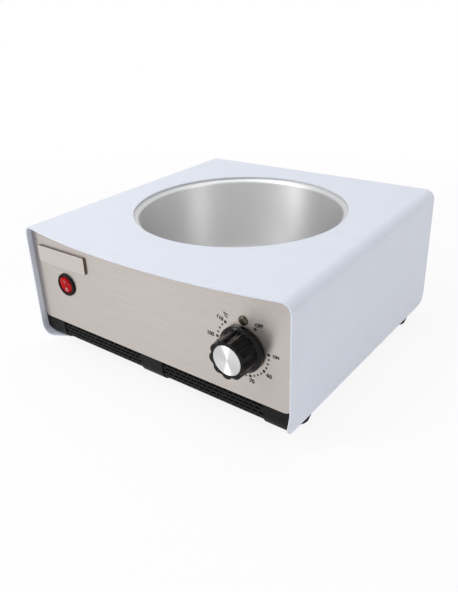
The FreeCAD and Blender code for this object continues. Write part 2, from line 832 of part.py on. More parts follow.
bush = new_body("knob_bush")
bush_foot = "(skirt_gap+1.2)"
sketch = sketch_on(bush, "XY_Plane", bush_foot)
circle(sketch, "0", "0", "bush_radius")
bore = "(shaft_radius+running_fit)"
flat = "(shaft_flat+running_fit)"
flat_half = "sqrt(%s^2-%s^2)" % (bore, flat)
pad(bush, sketch, "bush_length-0.3")
sketch = sketch_on(bush, "XY_Plane", bush_foot)
outline(sketch, [
    (flat_half, "-" + flat, bore, "left"),
    (bore, "0", bore, "left"),
    ("0", bore, bore, "left"),
    ("-" + bore, "0", bore, "left"),
    ("-" + flat_half, "-" + flat),
])
pocket(bush, sketch, "bush_length-1.5", turned=True)
sketch = sketch_on(bush, "XZ_Plane")
circle(sketch, "0", grub_level, "small_screw+running_fit")
pocket(bush, sketch, "bush_radius+3", turned=True)
place("knob_bush", bush, knob_frame)

grub = new_body("knob_grub_screw")
sketch = sketch_on(grub, "XZ_Plane", "shaft_flat+running_fit+0.05")
circle(sketch, "0", grub_level, "small_screw")
pad(grub, sketch, "5.6")
sketch = sketch_on(grub, "XZ_Plane", "shaft_flat+running_fit+5.65")
rectangle(sketch, "-1.1", grub_level + "-0.25", "1.1", grub_level + "+0.25")
pocket(grub, sketch, "1")
place("knob_grub_screw", grub, knob_frame)

shaft = new_body("thermostat_shaft")
shaft_foot = "(panel_sheet*2+8)"
sketch = sketch_on(shaft, "XY_Plane", "-" + shaft_foot)
circle(sketch, "0", "0", "shaft_radius")
pad(shaft, sketch, shaft_foot + "+bush_length")
sketch = sketch_on(shaft, "XY_Plane", "1.4")
rectangle(sketch, "-5", "-5", "5", "-shaft_flat")
pocket(shaft, sketch, "20", turned=True)
place("thermostat_shaft", shaft, knob_frame)

# thermostat behind the plate

body_front = "(panel_sheet+1.5)"
holder = new_body("thermostat_bracket")
sketch = sketch_on(holder, "XY_Plane", "-panel_sheet")
round_rectangle(sketch, "(-9)", "(-lower_screw-6)", "(9)", "(upper_screw+6)", "3")
circle(sketch, "0", "0", "thermostat_neck+loose")
circle(sketch, "screw_aside", "upper_screw", "screw_radius+running_fit")
circle(sketch, "screw_aside", "-lower_screw", "screw_radius+running_fit")
pad(holder, sketch, "1.5", turned=True)
place("thermostat_bracket", holder, dial_frame)

thermostat = new_body("thermostat_body")
sketch = sketch_on(thermostat, "XY_Plane", "-" + body_front)
round_rectangle(sketch, "(-thermostat_width/2)", "(-thermostat_height/2)", "(thermostat_width/2)",
                "(thermostat_height/2)", "2")
pad(thermostat, sketch, "thermostat_depth", turned=True)
# the lower screw's end needs a pit in the housing
sketch = sketch_on(thermostat, "XY_Plane", "-" + body_front)
circle(sketch, "screw_aside", "-lower_screw", "screw_hole")
pocket(thermostat, sketch, "6")
sketch = sketch_on(thermostat, "XY_Plane", "-" + body_front)
circle(sketch, "0", "0", "thermostat_neck")
pad(thermostat, sketch, body_front + "+0.6")
sketch = sketch_on(thermostat, "XY_Plane", "1")
circle(sketch, "0", "0", "shaft_radius+running_fit")
pocket(thermostat, sketch, "1+panel_sheet*2+8.2")
place("thermostat_body", thermostat, dial_frame)

group("thermostat_terminals", blade, [
    control_at(dial_frame, across, up, value("-%s-thermostat_depth" % body_front))
    for across, up in ((-12, 8), (0, 8), (12, 8))])

panel_screw = make_screw("panel_screw_master", "screw_radius", "6", "control_screw_head",
                         "screw_head_height*0.9")
group("thermostat_screws", panel_screw, [
    control_at(dial_frame, value("screw_aside"), value("upper_screw"), 0),
    control_at(dial_frame, value("screw_aside"), value("-lower_screw"), 0)])

# pot, one spun profile with its rim rolled in under the casing's top

seat = "(sheet+gasket)"
slope_start = "well_radius"
lip_across = "(pot_radius+rim_round*(cos(pot_draft)-sin(rim_slope)))"
lip_up = "(-%s-(well_radius-%s)*tan(rim_slope))" % (seat, lip_across)
throat_up = "(%s-rim_round*(cos(rim_slope)-sin(pot_draft)))" % lip_up
floor = "(-sheet-pot_depth)"
foot_up = "(%s+pot_corner*(1-sin(pot_draft)))" % floor
foot_across = "(pot_radius-(%s-%s)*tan(pot_draft))" % (throat_up, foot_up)
floor_across = "(%s-pot_corner*cos(pot_draft))" % foot_across
under = "(%s-pot_wall)" % floor
pot = new_body("melting_pot")
sketch = sketch_on(pot, "XZ_Plane")
outline(sketch, [
    ("0", floor),
    ("0", under),
    (floor_across, under, "pot_corner+pot_wall", "left"),
    (foot_across + "+pot_wall*cos(pot_draft)", foot_up + "-pot_wall*sin(pot_draft)"),
    ("pot_radius+pot_wall*cos(pot_draft)", throat_up + "-pot_wall*sin(pot_draft)", "rim_round-pot_wall", "right"),
    (lip_across + "+pot_wall*sin(rim_slope)", lip_up + "-pot_wall*cos(rim_slope)"),
    ("well_radius+pot_wall*tan(rim_slope/2)", "-%s-pot_wall" % seat),
    ("pot_flange", "-%s-pot_wall" % seat),
    ("pot_flange", "-" + seat),
    ("well_radius", "-" + seat),
    (lip_across, lip_up, "rim_round", "left"),
    ("pot_radius", throat_up),
    (foot_across, foot_up, "pot_corner", "right"),
    (floor_across, floor),
])
revolve(pot, sketch)
stud_turns = [54, 174, 294]
sketch = sketch_on(pot, "XY_Plane", under + "+0.5")
for turn in stud_turns:
    circle(sketch, "pot_stud_circle*cos(%d)" % turn, "pot_stud_circle*sin(%d)" % turn, "stud_radius")
pad(pot, sketch, "pot_stud_length+0.5", turned=True)
sketch = sketch_on(pot, "XY_Plane", under + "+0.5")
circle(sketch, "cutout_stud", "0", "small_screw")
circle(sketch, "-cutout_stud", "0", "small_screw")
pad(pot, sketch, "6", turned=True)
place("melting_pot", pot, pot_frame)

seal = new_body("pot_gasket")
sketch = sketch_on(seal, "XY_Plane", "-sheet")
circle(sketch, "0", "0", "pot_flange")
circle(sketch, "0", "0", "well_radius+gasket_setback")
pad(seal, sketch, "gasket", turned=True)
place("pot_gasket", seal, pot_frame)

clip = new_body("clip_master")
sketch = sketch_on(clip, "XZ_Plane")
clip_face = "(-%s-pot_wall)" % seat
outline(sketch, [
    ("pot_flange-5", clip_face),
    ("pot_flange-5", clip_face + "-1.5"),
    ("clip_circle+8", clip_face + "-1.5"),
    ("clip_circle+8", "-sheet"),
    ("clip_circle+6.5", "-sheet"),
    ("clip_circle+6.5", clip_face),
])
pad(clip, sketch, "clip_width", both=True)
sketch = sketch_on(clip, "XY_Plane")
circle(sketch, "clip_circle", "0", "screw_hole")
pocket(clip, sketch, "12")
group("pot_clips", clip, [
    pot_frame.multiply(turned_frame(0, 0, 0, Vector(0, 0, 1), turn)) for turn in clip_turns])
group("clip_nuts", nut, [
    pot_frame.multiply(turned_frame(0, 0, 0, Vector(0, 0, 1), turn)).multiply(
        turned_frame(value("clip_circle"), 0, value(clip_face + "-1.5"), angle=180)) for turn in clip_turns])

# heating ring under the pot: one tube, both ends elbowed down to their pins

ring_up = "(%s-loose-element_radius)" % under
ring = doc.addObject("Part::Torus", "element_ring")
ring.setExpression("Radius1", bound("element_circle"))
ring.setExpression("Radius2", bound("element_radius"))
ring.setExpression("Angle3", bound("element_sweep"))
ring_pieces = [ring]
pin_frames = []
for end, lean in ((0.0, 1), (value("element_sweep"), -1)):
    spin = Rotation(Vector(0, 0, 1), end)
    elbow = doc.addObject("Part::Torus", "element_elbow_piece")
    elbow.setExpression("Radius1", bound("element_elbow"))
    elbow.setExpression("Radius2", bound("element_radius"))
    elbow.Angle3 = 90
    # the elbow starts along the ring and ends pointing down
    upright = Placement(Vector(value("element_circle"), 0, value("-element_elbow")),
                        Rotation(Vector(0, 0, 1), Vector(0, -lean, 0), Vector(lean, 0, 0), "XYZ"))
    elbow.Placement = Placement(Vector(0, 0, 0), spin).multiply(upright)
    ring_pieces.append(elbow)
    tail = doc.addObject("Part::Cylinder", "element_tail")
    tail.setExpression("Radius", bound("element_radius"))
    tail.Height = 4
    foot = Placement(Vector(0, 0, 0), spin).multiply(Placement(
        Vector(value("element_circle"), -lean * value("element_elbow"), value("-element_elbow-4")), Rotation()))
    tail.Placement = foot
    ring_pieces.append(tail)
    pin_frames.append(foot)
element = doc.addObject("Part::MultiFuse", "heater_element")
element.Shapes = ring_pieces
element.Refine = True
element_frame = pot_frame.multiply(turned_frame(0, 0, value(ring_up), Vector(0, 0, 1), 90 + value("(360-element_sweep)/2")))
place("heater_element", element, element_frame)
pin = doc.addObject("Part::Cylinder", "pin_master")
pin.setExpression("Radius", bound("element_pin"))
pin.Height = 9
group("heater_terminals", pin, [
    element_frame.multiply(frame).multiply(turned_frame(0, 0, -9)) for frame in pin_frames])

clamp = new_body("element_clamp_plate")
clamp_up = "(%s-element_radius-loose)" % ring_up
sketch = sketch_on(clamp, "XY_Plane", clamp_up)
circle(sketch, "0", "0", "pot_stud_circle+10")
circle(sketch, "0", "0", "cutout_flange+3")
pad(clamp, sketch, "clamp_sheet", turned=True)
sketch = sketch_on(clamp, "XY_Plane", clamp_up)
rectangle(sketch, "pot_stud_circle", "-clamp_arm_width/2", "clamp_arm", "clamp_arm_width/2")
arm = pad(clamp, sketch, "clamp_sheet", turned=True)
ring_of(clamp, sketch, arm, 3)
sketch = sketch_on(clamp, "XY_Plane", clamp_up)
circle(sketch, "pot_stud_circle", "0", "screw_hole")
hole = pocket(clamp, sketch, "5")
ring_of(clamp, sketch, hole, 3)
place("element_clamp_plate", clamp, pot_frame.multiply(turned_frame(0, 0, 0, Vector(0, 0, 1), stud_turns[0])))
group("clamp_nuts", nut, [
    pot_frame.multiply(turned_frame(0, 0, 0, Vector(0, 0, 1), turn)).multiply(
        turned_frame(value("pot_stud_circle"), 0, value(clamp_up + "-clamp_sheet"), angle=180)) for turn in stud_turns])

cutout = new_body("thermal_cutout")
sketch = sketch_on(cutout, "XZ_Plane")
outline(sketch, [
    ("0", under),
    ("cutout_flange", under),
    ("cutout_flange", under + "-1"),
    ("cutout_radius", under + "-1"),
    ("cutout_radius", under + "-cutout_height"),
    ("0", under + "-cutout_height"),
])
revolve(cutout, sketch)
sketch = sketch_on(cutout, "XY_Plane", under)
circle(sketch, "cutout_stud", "0", "small_hole")
circle(sketch, "-cutout_stud", "0", "small_hole")
pocket(cutout, sketch, "3")
place("thermal_cutout", cutout, pot_frame)
group("cutout_terminals", blade, [
    pot_frame.multiply(turned_frame(0, back, value(under + "-cutout_height"))) for back in (-4, 4)])
group("cutout_nuts", small_nut, [
    pot_frame.multiply(turned_frame(side * value("cutout_stud"), 0, value(under + "-1"), angle=180))
    for side in (-1, 1)])

# sensing bulb against the pot's underside and its capillary from the thermostat

tube_start = Vector(value("dial_place"), value("panel_setback+panel_sheet*2+10"), 0)
tube_turn = 144.2
tube_along = 162.5
bulb_up = "(-sheet-pot_depth-pot_wall-loose-bulb_radius)"
tube_frame = leaning_at(tube_start.x, tube_start.y, 0, Vector(0, 0, 1), tube_turn)
bulb = new_body("sensor_bulb")
sketch = sketch_on(bulb, "XZ_Plane")
outline(sketch, [
    ("-bulb_length/2", "0"),
    ("tube_radius+0.3-bulb_length/2-1", "tube_radius+0.3"),
    ("bulb_radius-bulb_length/2", "bulb_radius"),
    ("bulb_length/2-bulb_radius", "bulb_radius", "bulb_radius", "right"),
    ("bulb_length/2", "0"),
])
revolve(bulb, sketch, "H_Axis")
bulb_frame = tube_frame.multiply(turned_frame(tube_along, 0, value(bulb_up)))
place("sensor_bulb", bulb, bulb_frame)
# saddle under the bulb, its two feet spot-welded to the pot
saddle = new_body("bulb_clip")
sketch = sketch_on(saddle, "YZ_Plane")
hug = "(bulb_radius+loose)"
outline(sketch, [
    ("-%s-7" % hug, hug),
    ("-%s-7" % hug, hug + "-1"),
    ("-%s-1" % hug, hug + "-1"),
    ("-%s-1" % hug, "0", hug + "+1", "left"),
    ("0", "-%s-1" % hug, hug + "+1", "left"),
    (hug + "+1", "0"),
    (hug + "+1", hug + "-1"),
    (hug + "+7", hug + "-1"),
    (hug + "+7", hug),
    (hug, hug),
    (hug, "0", hug, "right"),
    ("0", "-" + hug, hug, "right"),
    ("-" + hug, "0"),
    ("-" + hug, hug),
])
pad(saddle, sketch, "10", both=True)
place("bulb_clip", saddle, bulb_frame)

tube = new_body("capillary_tube")
spine = sketch_on(tube, "XZ_Plane")
low = "(-tube_drop)"
tube_top = "(-control_level-thermostat_height/2)"
bulb_start = "(%s-bulb_length/2-2)" % tube_along
step_length = "sqrt(4*tube_bend*(tube_drop+%s)-(tube_drop+%s)^2)" % (bulb_up, bulb_up)
step_start = "(%s-%s)" % (bulb_start, step_length)
step_middle = "(%s-%s/2)" % (bulb_start, step_length)
run_corners = [
    ("0", tube_top),
    ("0", low + "+tube_bend", "tube_bend", "left"),
    ("tube_bend", low),
    (step_start, low, "tube_bend", "left"),
    (step_middle, "(%s+%s)/2" % (low, bulb_up), "tube_bend", "right"),
    (bulb_start, bulb_up),
]


# the same run of lines and arcs as an outline, left open at its end
def open_run(sketch, corners):
    spots = [Vector(value(corner[0]), value(corner[1]), 0) for corner in corners]
    for index, corner in enumerate(corners[:-1]):
        start = spots[index]
        finish = spots[index + 1]
        if len(corner) == 2:
            sketch.addGeometry(Part.LineSegment(start, finish))
        else:
            sketch.addGeometry(arc_between(start, finish, value(corner[2]), corner[3] == "left"))


open_run(spine, run_corners)
section = sketch_on(tube, "XY_Plane", tube_top)
circle(section, "0", "0", "tube_radius")
pipe = tube.newObject("PartDesign::AdditivePipe", "tube_run")
pipe.Profile = section
pipe.Spine = (spine, [])
place("capillary_tube", tube, tube_frame)

# insulation round the pot and the strap that holds it

sleeve = new_body("pot_insulation")
sleeve_top = "(-insulation_top)"
sleeve_foot = "(-insulation_top-insulation_length)"
gap_top = "(pot_radius+(pot_wall+loose)/cos(pot_draft)-(%s-%s)*tan(pot_draft))" % (throat_up, sleeve_top)
gap_foot = "(pot_radius+(pot_wall+loose)/cos(pot_draft)-(%s-%s)*tan(pot_draft))" % (throat_up, sleeve_foot)
sleeve_outer = "(pot_radius+pot_wall+insulation)"
sketch = sketch_on(sleeve, "XZ_Plane")
outline(sketch, [
    (gap_foot, sleeve_foot),
    (sleeve_outer, sleeve_foot),
    (sleeve_outer, sleeve_top),
    (gap_top, sleeve_top),
])
revolve(sleeve, sketch)
place("pot_insulation", sleeve, pot_frame)
strap = new_body("insulation_strap")
sketch = sketch_on(strap, "XZ_Plane")
rectangle(sketch, sleeve_outer + "+loose", "%s/2+%s/2-7" % (sleeve_top, sleeve_foot), sleeve_outer + "+loose+0.7",
          "%s/2+%s/2+7" % (sleeve_top, sleeve_foot))
revolve(strap, sketch)
place("insulation_strap", strap, pot_frame)

# rear cover with its vents and the cable gland

cover = new_body("back_panel")
sketch = sketch_on(cover, "XZ_Plane", "-shell_depth")
cover_foot = "(cover_clear-front_height-shell_depth*tan(tilt))"
round_rectangle(sketch, "(-cover_half_width)", cover_foot, "(cover_half_width)", "(-cover_top)", "4")
for across, up in cover_screws:
    circle(sketch, across, up, "screw_hole")
circle(sketch, "-gland_place", "-gland_level", "gland_thread+loose")
pad(cover, sketch, "panel_sheet", turned=True)
sketch = sketch_on(cover, "XZ_Plane", "1-shell_depth")
round_rectangle(sketch, "(-60)", "(-62)", "(-56)", "(-30)", "1.9")
cut = pocket(cover, sketch, "6")
row_of(cover, sketch, cut, 13, "120")
place("back_panel", cover, leaning)
cover_screw = make_screw("cover_screw_master", "screw_radius", "7", "screw_head", "screw_head_height")
group("back_screws", cover_screw, [
    leaning_at(value(across), value("shell_depth+panel_sheet"), value(up), angle=-90) for across, up in cover_screws])

gland_frame = leaning_at(value("-gland_place"), value("shell_depth+panel_sheet"), value("-gland_level"), angle=-90)
gland = new_body("cable_gland_body")
sketch = sketch_on(gland, "XY_Plane")
outline(sketch, [("gland_hex*cos(%d)" % turn, "gland_hex*sin(%d)" % turn) for turn in range(0, 360, 60)])
pad(gland, sketch, "gland_collar")
sketch = sketch_on(gland, "XY_Plane", "-10")
circle(sketch, "0", "0", "gland_thread")
pad(gland, sketch, "10+gland_collar+6")
sketch = sketch_on(gland, "XY_Plane", "gland_collar+8")
circle(sketch, "0", "0", "gland_bore")
pocket(gland, sketch, "30")
place("cable_gland_body", gland, gland_frame)
dome = new_body("cable_gland_cap")
sketch = sketch_on(dome, "XZ_Plane")
dome_foot = "(gland_collar+loose)"
dome_top = "(gland_collar+gland_reach)"
outline(sketch, [
    ("gland_thread+loose", dome_foot),
    ("gland_cap", dome_foot),
    ("gland_cap", dome_top + "-4", "4", "left"),
    ("gland_cap-4", dome_top),
    ("gland_bore", dome_top),
    ("gland_bore", "gland_collar+6.4"),
    ("gland_thread+loose", "gland_collar+6.4"),
])
revolve(dome, sketch)
place("cable_gland_cap", dome, gland_frame)
locknut = make_nut("cable_gland_locknut", "gland_hex", "gland_thread+running_fit", "3.5")
place("cable_gland_locknut", locknut, leaning_at(value("-gland_place"), value("shell_depth"), value("-gland_level"),
                                                 angle=90))

# bottom plate, on the casing's level flanges and the strip's

base = new_body("base_plate")
sketch = sketch_on(base, "XY_Plane", "sheet")
rectangle(sketch, "-base_half_width", "base_front", "base_half_width", "base_back")
for across, back in flange_screws + list(feet.values()):
    circle(sketch, across, back, "screw_hole")
for across, back in strip_screw_places:
    circle(sketch, across, back, "small_hole")
earth_place = ("-52", "272")
circle(sketch, earth_place[0], earth_place[1], "2.6")
block_screws = [("-106", "262"), ("-78", "262")]
for across, back in block_screws:
    circle(sketch, across, back, "small_hole")
pad(base, sketch, "base_sheet")
for first_back in ("120", "160"):
    sketch = sketch_on(base, "XY_Plane", "sheet-1")
    round_rectangle(sketch, "(-71)", "(%s)" % first_back, "(-67)", "(%s+26)" % first_back, "1.9")
    cut = pocket(base, sketch, "5", turned=True)
    row_of(base, sketch, cut, 11, "138")
place("base_plate", base, level)

base_screw = make_screw("base_screw_master", "screw_radius", "10", "screw_head", "screw_head_height")
group("base_screws", base_screw, [
    turned_frame(value(across), value(back), 0, angle=180) for across, back in flange_screws])
base_top = value("sheet+base_sheet")
group("base_nuts", nut, [turned_frame(value(across), value(back), base_top) for across, back in flange_screws])
strip_screw = make_screw("strip_screw_master", "small_screw", "8", "screw_head*0.78", "screw_head_height*0.8")
group("strip_screws", strip_screw, [
    turned_frame(value(across), value(back), 0, angle=180) for across, back in strip_screw_places])
group("strip_nuts", small_nut, [turned_frame(value(across), value(back), base_top)
                                for across, back in strip_screw_places])

head_seat = "(3-foot_height)"
foot_screw = make_screw("foot_screw_master", "screw_radius", "foot_height+5", "screw_head", "screw_head_height")
for label, spot in feet.items():
    rubber = new_body(label)
    sketch = sketch_on(rubber, "XZ_Plane")
    outline(sketch, [
        ("screw_hole", "0"),
        ("screw_hole", head_seat),
        ("screw_head+0.8", head_seat),
        ("screw_head+0.8", "-foot_height"),
        ("foot_toe-1.5", "-foot_height", "1.5", "left"),
        ("foot_toe", "1.5-foot_height"),
        ("foot_radius", "-1"),
        ("foot_radius", "0"),
    ])
    revolve(rubber, sketch)
    place(label, rubber, turned_frame(value(spot[0]), value(spot[1]), 0))
group("foot_screws", foot_screw, [
    turned_frame(value(across), value(back), value(head_seat), angle=180) for across, back in feet.values()])
group("foot_nuts", nut, [turned_frame(value(across), value(back), base_top) for across, back in feet.values()])

# mains side: terminal block and earth stud on the bottom plate

block = new_body("terminal_block")
sketch = sketch_on(block, "XY_Plane")
rectangle(sketch, "-19", "-9", "19", "9")
circle(sketch, "-14", "0", "small_hole")
circle(sketch, "14", "0", "small_hole")
pad(block, sketch, "8")
sketch = sketch_on(block, "XY_Plane", "7")
round_rectangle(sketch, "(-10)", "(-8)", "(10)", "(8)", "1")
pad(block, sketch, "8")
sketch = sketch_on(block, "XZ_Plane", "10")
for across in ("-6.5", "0", "6.5"):
    circle(sketch, across, "9", "2")
pocket(block, sketch, "20")
place("terminal_block", block, turned_frame(-92, 262, base_top))
block_screw = make_screw("block_screw_master", "small_screw", "11", "screw_head*0.78", "screw_head_height*0.8")
group("terminal_block_screws", block_screw, [
    turned_frame(value(across), value(back), base_top + 8) for across, back in block_screws])

earth = new_body("earth_stud")
sketch = sketch_on(earth, "XZ_Plane")
outline(sketch, [
    ("0", "0"),
    ("4.5", "0"),
    ("4.5", "sheet-loose"),
    ("2.5", "sheet-loose"),
    ("2.5", "17"),
    ("0", "17"),
])
revolve(earth, sketch)
place("earth_stud", earth, turned_frame(value(earth_place[0]), value(earth_place[1]), 0))
earth_nut = make_nut("earth_nut", "4.6", "2.5+running_fit", "4")
place("earth_nut", earth_nut, turned_frame(value(earth_place[0]), value(earth_place[1]), base_top))

# stand the melter on its feet, centred over the origin, then test and write every sub-part

doc.recompute()
for item in doc.Objects:
    if "Invalid" in item.State or "Error" in item.State:
        raise ValueError("%s: %s" % (item.Label, item.State))
ends = [piece.Shape.BoundBox for piece in sub_parts.values()]
middle = (min(end.YMin for end in ends) + max(end.YMax for end in ends)) / 2
stand = Placement(Vector(0, -middle, value("foot_height")), Rotation())
for piece in sub_parts.values():
    piece.Placement = stand.multiply(piece.Placement)
doc.recompute()
os.makedirs("parts", exist_ok=True)
for label, piece in sub_parts.items():
    shape = piece.Shape
    if shape.isNull() or not shape.isValid():
        raise ValueError("%s has no good shape" % label)
    shape.exportStep("parts/%s.step" % label)
    print(label, len(shape.Solids), round(shape.Volume), shape.BoundBox)
print("centre shift", round(-middle, 4))
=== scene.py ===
import json
import math

import bmesh
import bpy
from mathutils import Matrix, Vector


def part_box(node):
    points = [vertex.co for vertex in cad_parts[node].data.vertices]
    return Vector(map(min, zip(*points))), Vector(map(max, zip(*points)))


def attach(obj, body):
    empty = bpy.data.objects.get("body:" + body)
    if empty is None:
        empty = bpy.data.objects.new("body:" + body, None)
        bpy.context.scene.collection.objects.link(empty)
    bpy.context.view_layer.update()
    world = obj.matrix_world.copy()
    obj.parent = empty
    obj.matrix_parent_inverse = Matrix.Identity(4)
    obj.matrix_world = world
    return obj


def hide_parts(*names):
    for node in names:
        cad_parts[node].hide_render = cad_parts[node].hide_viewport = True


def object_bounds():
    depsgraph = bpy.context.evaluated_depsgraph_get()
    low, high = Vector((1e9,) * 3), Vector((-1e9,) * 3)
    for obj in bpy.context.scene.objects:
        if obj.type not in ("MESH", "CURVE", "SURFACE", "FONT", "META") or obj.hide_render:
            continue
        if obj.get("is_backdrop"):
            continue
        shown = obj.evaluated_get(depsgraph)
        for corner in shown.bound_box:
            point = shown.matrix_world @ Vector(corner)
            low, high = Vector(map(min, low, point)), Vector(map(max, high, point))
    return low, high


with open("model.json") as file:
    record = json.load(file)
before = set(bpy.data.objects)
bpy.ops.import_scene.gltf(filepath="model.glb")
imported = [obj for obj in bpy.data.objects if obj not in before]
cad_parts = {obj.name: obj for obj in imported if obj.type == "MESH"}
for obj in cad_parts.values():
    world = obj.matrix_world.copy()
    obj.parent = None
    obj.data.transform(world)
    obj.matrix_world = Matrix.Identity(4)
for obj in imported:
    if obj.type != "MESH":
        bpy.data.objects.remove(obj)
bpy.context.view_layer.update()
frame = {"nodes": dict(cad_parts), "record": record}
print("frame loaded:", len(frame["nodes"]), "nodes")

# frames

lean = {"tilt": 3.8, "width": 0.3, "depth": 0.3, "frontHeight": 0.1233, "visorBow": 0.0153, "lift": 0.008}
tilt = math.radians(lean["tilt"])
sinT, cosT = math.sin(tilt), math.cos(tilt)
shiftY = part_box("outer_shell")[0].y + lean["visorBow"] * cosT + lean["frontHeight"] * sinT
level = Matrix.Translation((0, shiftY, lean["lift"]))  # under the casing's front edge
leaning = level @ Matrix.Translation((0, -lean["frontHeight"] * sinT, lean["frontHeight"] * cosT)) @ Matrix.Rotation(
    tilt, 4, "X")  # in the casing's top, y to the back


def levelToLean(y, z):  # a point of the level frame, in the leaning one
    dy, dz = y + lean["frontHeight"] * sinT, z - lean["frontHeight"] * cosT
    return dy * cosT + dz * sinT, -dy * sinT + dz * cosT


def controlAt(x, z):  # stands on the front plate: x right, y up, z outwards
    return leaning @ Matrix.Translation((x, plate["setback"], z)) @ Matrix.Rotation(math.radians(90), 4, "X")


# materials

def newMaterial(name, colour, rough, metal=0.0):
    material = bpy.data.materials.new(name)
    material.use_nodes = True
    shader = material.node_tree.nodes["Principled BSDF"]
    shader.inputs["Base Color"].default_value = (*colour, 1)
    shader.inputs["Roughness"].default_value = rough
    shader.inputs["Metallic"].default_value = metal
    return material


def addNode(material, kind, **values):
    node = material.node_tree.nodes.new(kind)
    for key, value in values.items():
        if key in node.inputs:
            node.inputs[key].default_value = value
        else:
            setattr(node, key, value)
    return node


def wire(material, source, target):
    material.node_tree.links.new(source, target)


def ramp(material, source, low, high, start=0.3, end=0.7):
    node = addNode(material, "ShaderNodeMapRange")
    wire(material, source, node.inputs["Value"])
    for key, value in (("From Min", start), ("From Max", end), ("To Min", low), ("To Max", high)):
        node.inputs[key].default_value = value
    return node.outputs["Result"]


def grain(material, scale, detail=3.0, stretch=None):
    place = addNode(material, "ShaderNodeTexCoord")
    noise = addNode(material, "ShaderNodeTexNoise", Scale=scale, Detail=detail)
    source = place.outputs["Object"]
    if stretch:
        mapping = addNode(material, "ShaderNodeMapping")
        mapping.inputs["Scale"].default_value = stretch
        wire(material, source, mapping.inputs["Vector"])
        source = mapping.outputs["Vector"]
    wire(material, source, noise.inputs["Vector"])
    return noise.outputs["Fac"]


def tint(material, fac, dark, light, start=0.3, end=0.7):  # colour that wanders between two values
    mix = addNode(material, "ShaderNodeMix", data_type="RGBA")
    mix.inputs["A"].default_value = (*dark, 1)
    mix.inputs["B"].default_value = (*light, 1)
    wire(material, ramp(material, fac, 0, 1, start, end), mix.inputs["Factor"])
    wire(material, mix.outputs["Result"], material.node_tree.nodes["Principled BSDF"].inputs["Base Color"])


def roughen(material, fac, low, high):
    wire(material, ramp(material, fac, low, high), material.node_tree.nodes["Principled BSDF"].inputs["Roughness"])


def emboss(material, fac, strength, distance):
    bump = addNode(material, "ShaderNodeBump", Strength=strength, Distance=distance)
    wire(material, fac, bump.inputs["Height"])
    wire(material, bump.outputs["Normal"], material.node_tree.nodes["Principled BSDF"].inputs["Normal"])


def shade(colour, factor):
    return tuple(min(channel * factor, 1.0) for channel in colour)


def plainMaterial(name, colour, rough, metal=0.0, scale=60.0, spread=0.06, bump=0.05, size=0.0002):
    material = newMaterial(name, colour, rough, metal)
    fac = grain(material, scale)
    tint(material, fac, shade(colour, 1 - spread), shade(colour, 1 + spread))
    roughen(material, grain(material, scale * 3.1), rough * 0.88, min(rough * 1.12, 1))
    emboss(material, grain(material, scale * 12, 2.0), bump, size)
    return material


def acrossLines(material, layer, anisotropy):  # light spreads across the lines that run along u
    tangent = addNode(material, "ShaderNodeTangent", direction_type="UV_MAP", uv_map=layer)
    shader = material.node_tree.nodes["Principled BSDF"]
    shader.inputs["Anisotropic"].default_value = anisotropy
    shader.inputs["Anisotropic Rotation"].default_value = 0.25
    wire(material, tangent.outputs["Tangent"], shader.inputs["Tangent"])


def brushedMaterial(name, colour, rough, spread=0.05, bump=0.08, anisotropy=0.0):  # lines along x
    material = newMaterial(name, colour, rough, 1.0)
    lines = grain(material, 1.0, 4.0, brushStretch)
    tint(material, lines, shade(colour, 1 - spread), shade(colour, 1 + spread))
    roughen(material, lines, rough * 0.85, rough * 1.2)
    emboss(material, lines, bump, 0.0001)
    if anisotropy:
        acrossLines(material, "brushed", anisotropy)
    return material


def spunMaterial(name, colour, rough, rings, anisotropy, spread=0.04, bump=0.05):  # turned marks run along u
    material = newMaterial(name, colour, rough, 1.0)
    place = addNode(material, "ShaderNodeTexCoord")
    split = addNode(material, "ShaderNodeSeparateXYZ")
    wire(material, place.outputs["UV"], split.inputs["Vector"])
    noise = addNode(material, "ShaderNodeTexNoise", noise_dimensions="1D", Scale=rings, Detail=4.0)
    wire(material, split.outputs["Y"], noise.inputs["W"])
    tint(material, noise.outputs["Fac"], shade(colour, 1 - spread), shade(colour, 1 + spread))
    emboss(material, noise.outputs["Fac"], bump, 0.0001)
    acrossLines(material, "turned", anisotropy)
    return material


brushStretch = (14, 900, 2600)
finishes = {
    "casingWhite": {"colour": (0.737, 0.771, 0.866), "rough": 0.42},
    "plateSteel": {"colour": (0.52, 0.479, 0.452), "rough": 0.3, "anisotropy": 0.8},
    "black": {"colour": (0.01, 0.01, 0.01), "rough": 0.5, "sheen": 0.11},
    "gloss": {"colour": (0.003, 0.003, 0.003), "rough": 0.13, "sheen": 0.18},
    "rubber": {"colour": (0.006, 0.006, 0.006), "rough": 0.65, "sheen": 0.08},
    "red": {"colour": (0.44, 0.005, 0.008), "rough": 0.3, "sheen": 0.03},
    "potAluminium": {"colour": (0.66, 0.66, 0.665), "rough": 0.48, "rings": 160, "anisotropy": 0.72},
    "capAluminium": {"colour": (0.95, 0.95, 0.955), "rough": 0.62, "rings": 90, "anisotropy": 1.0},
}


def look(name):
    return finishes[name]["colour"], finishes[name]["rough"]


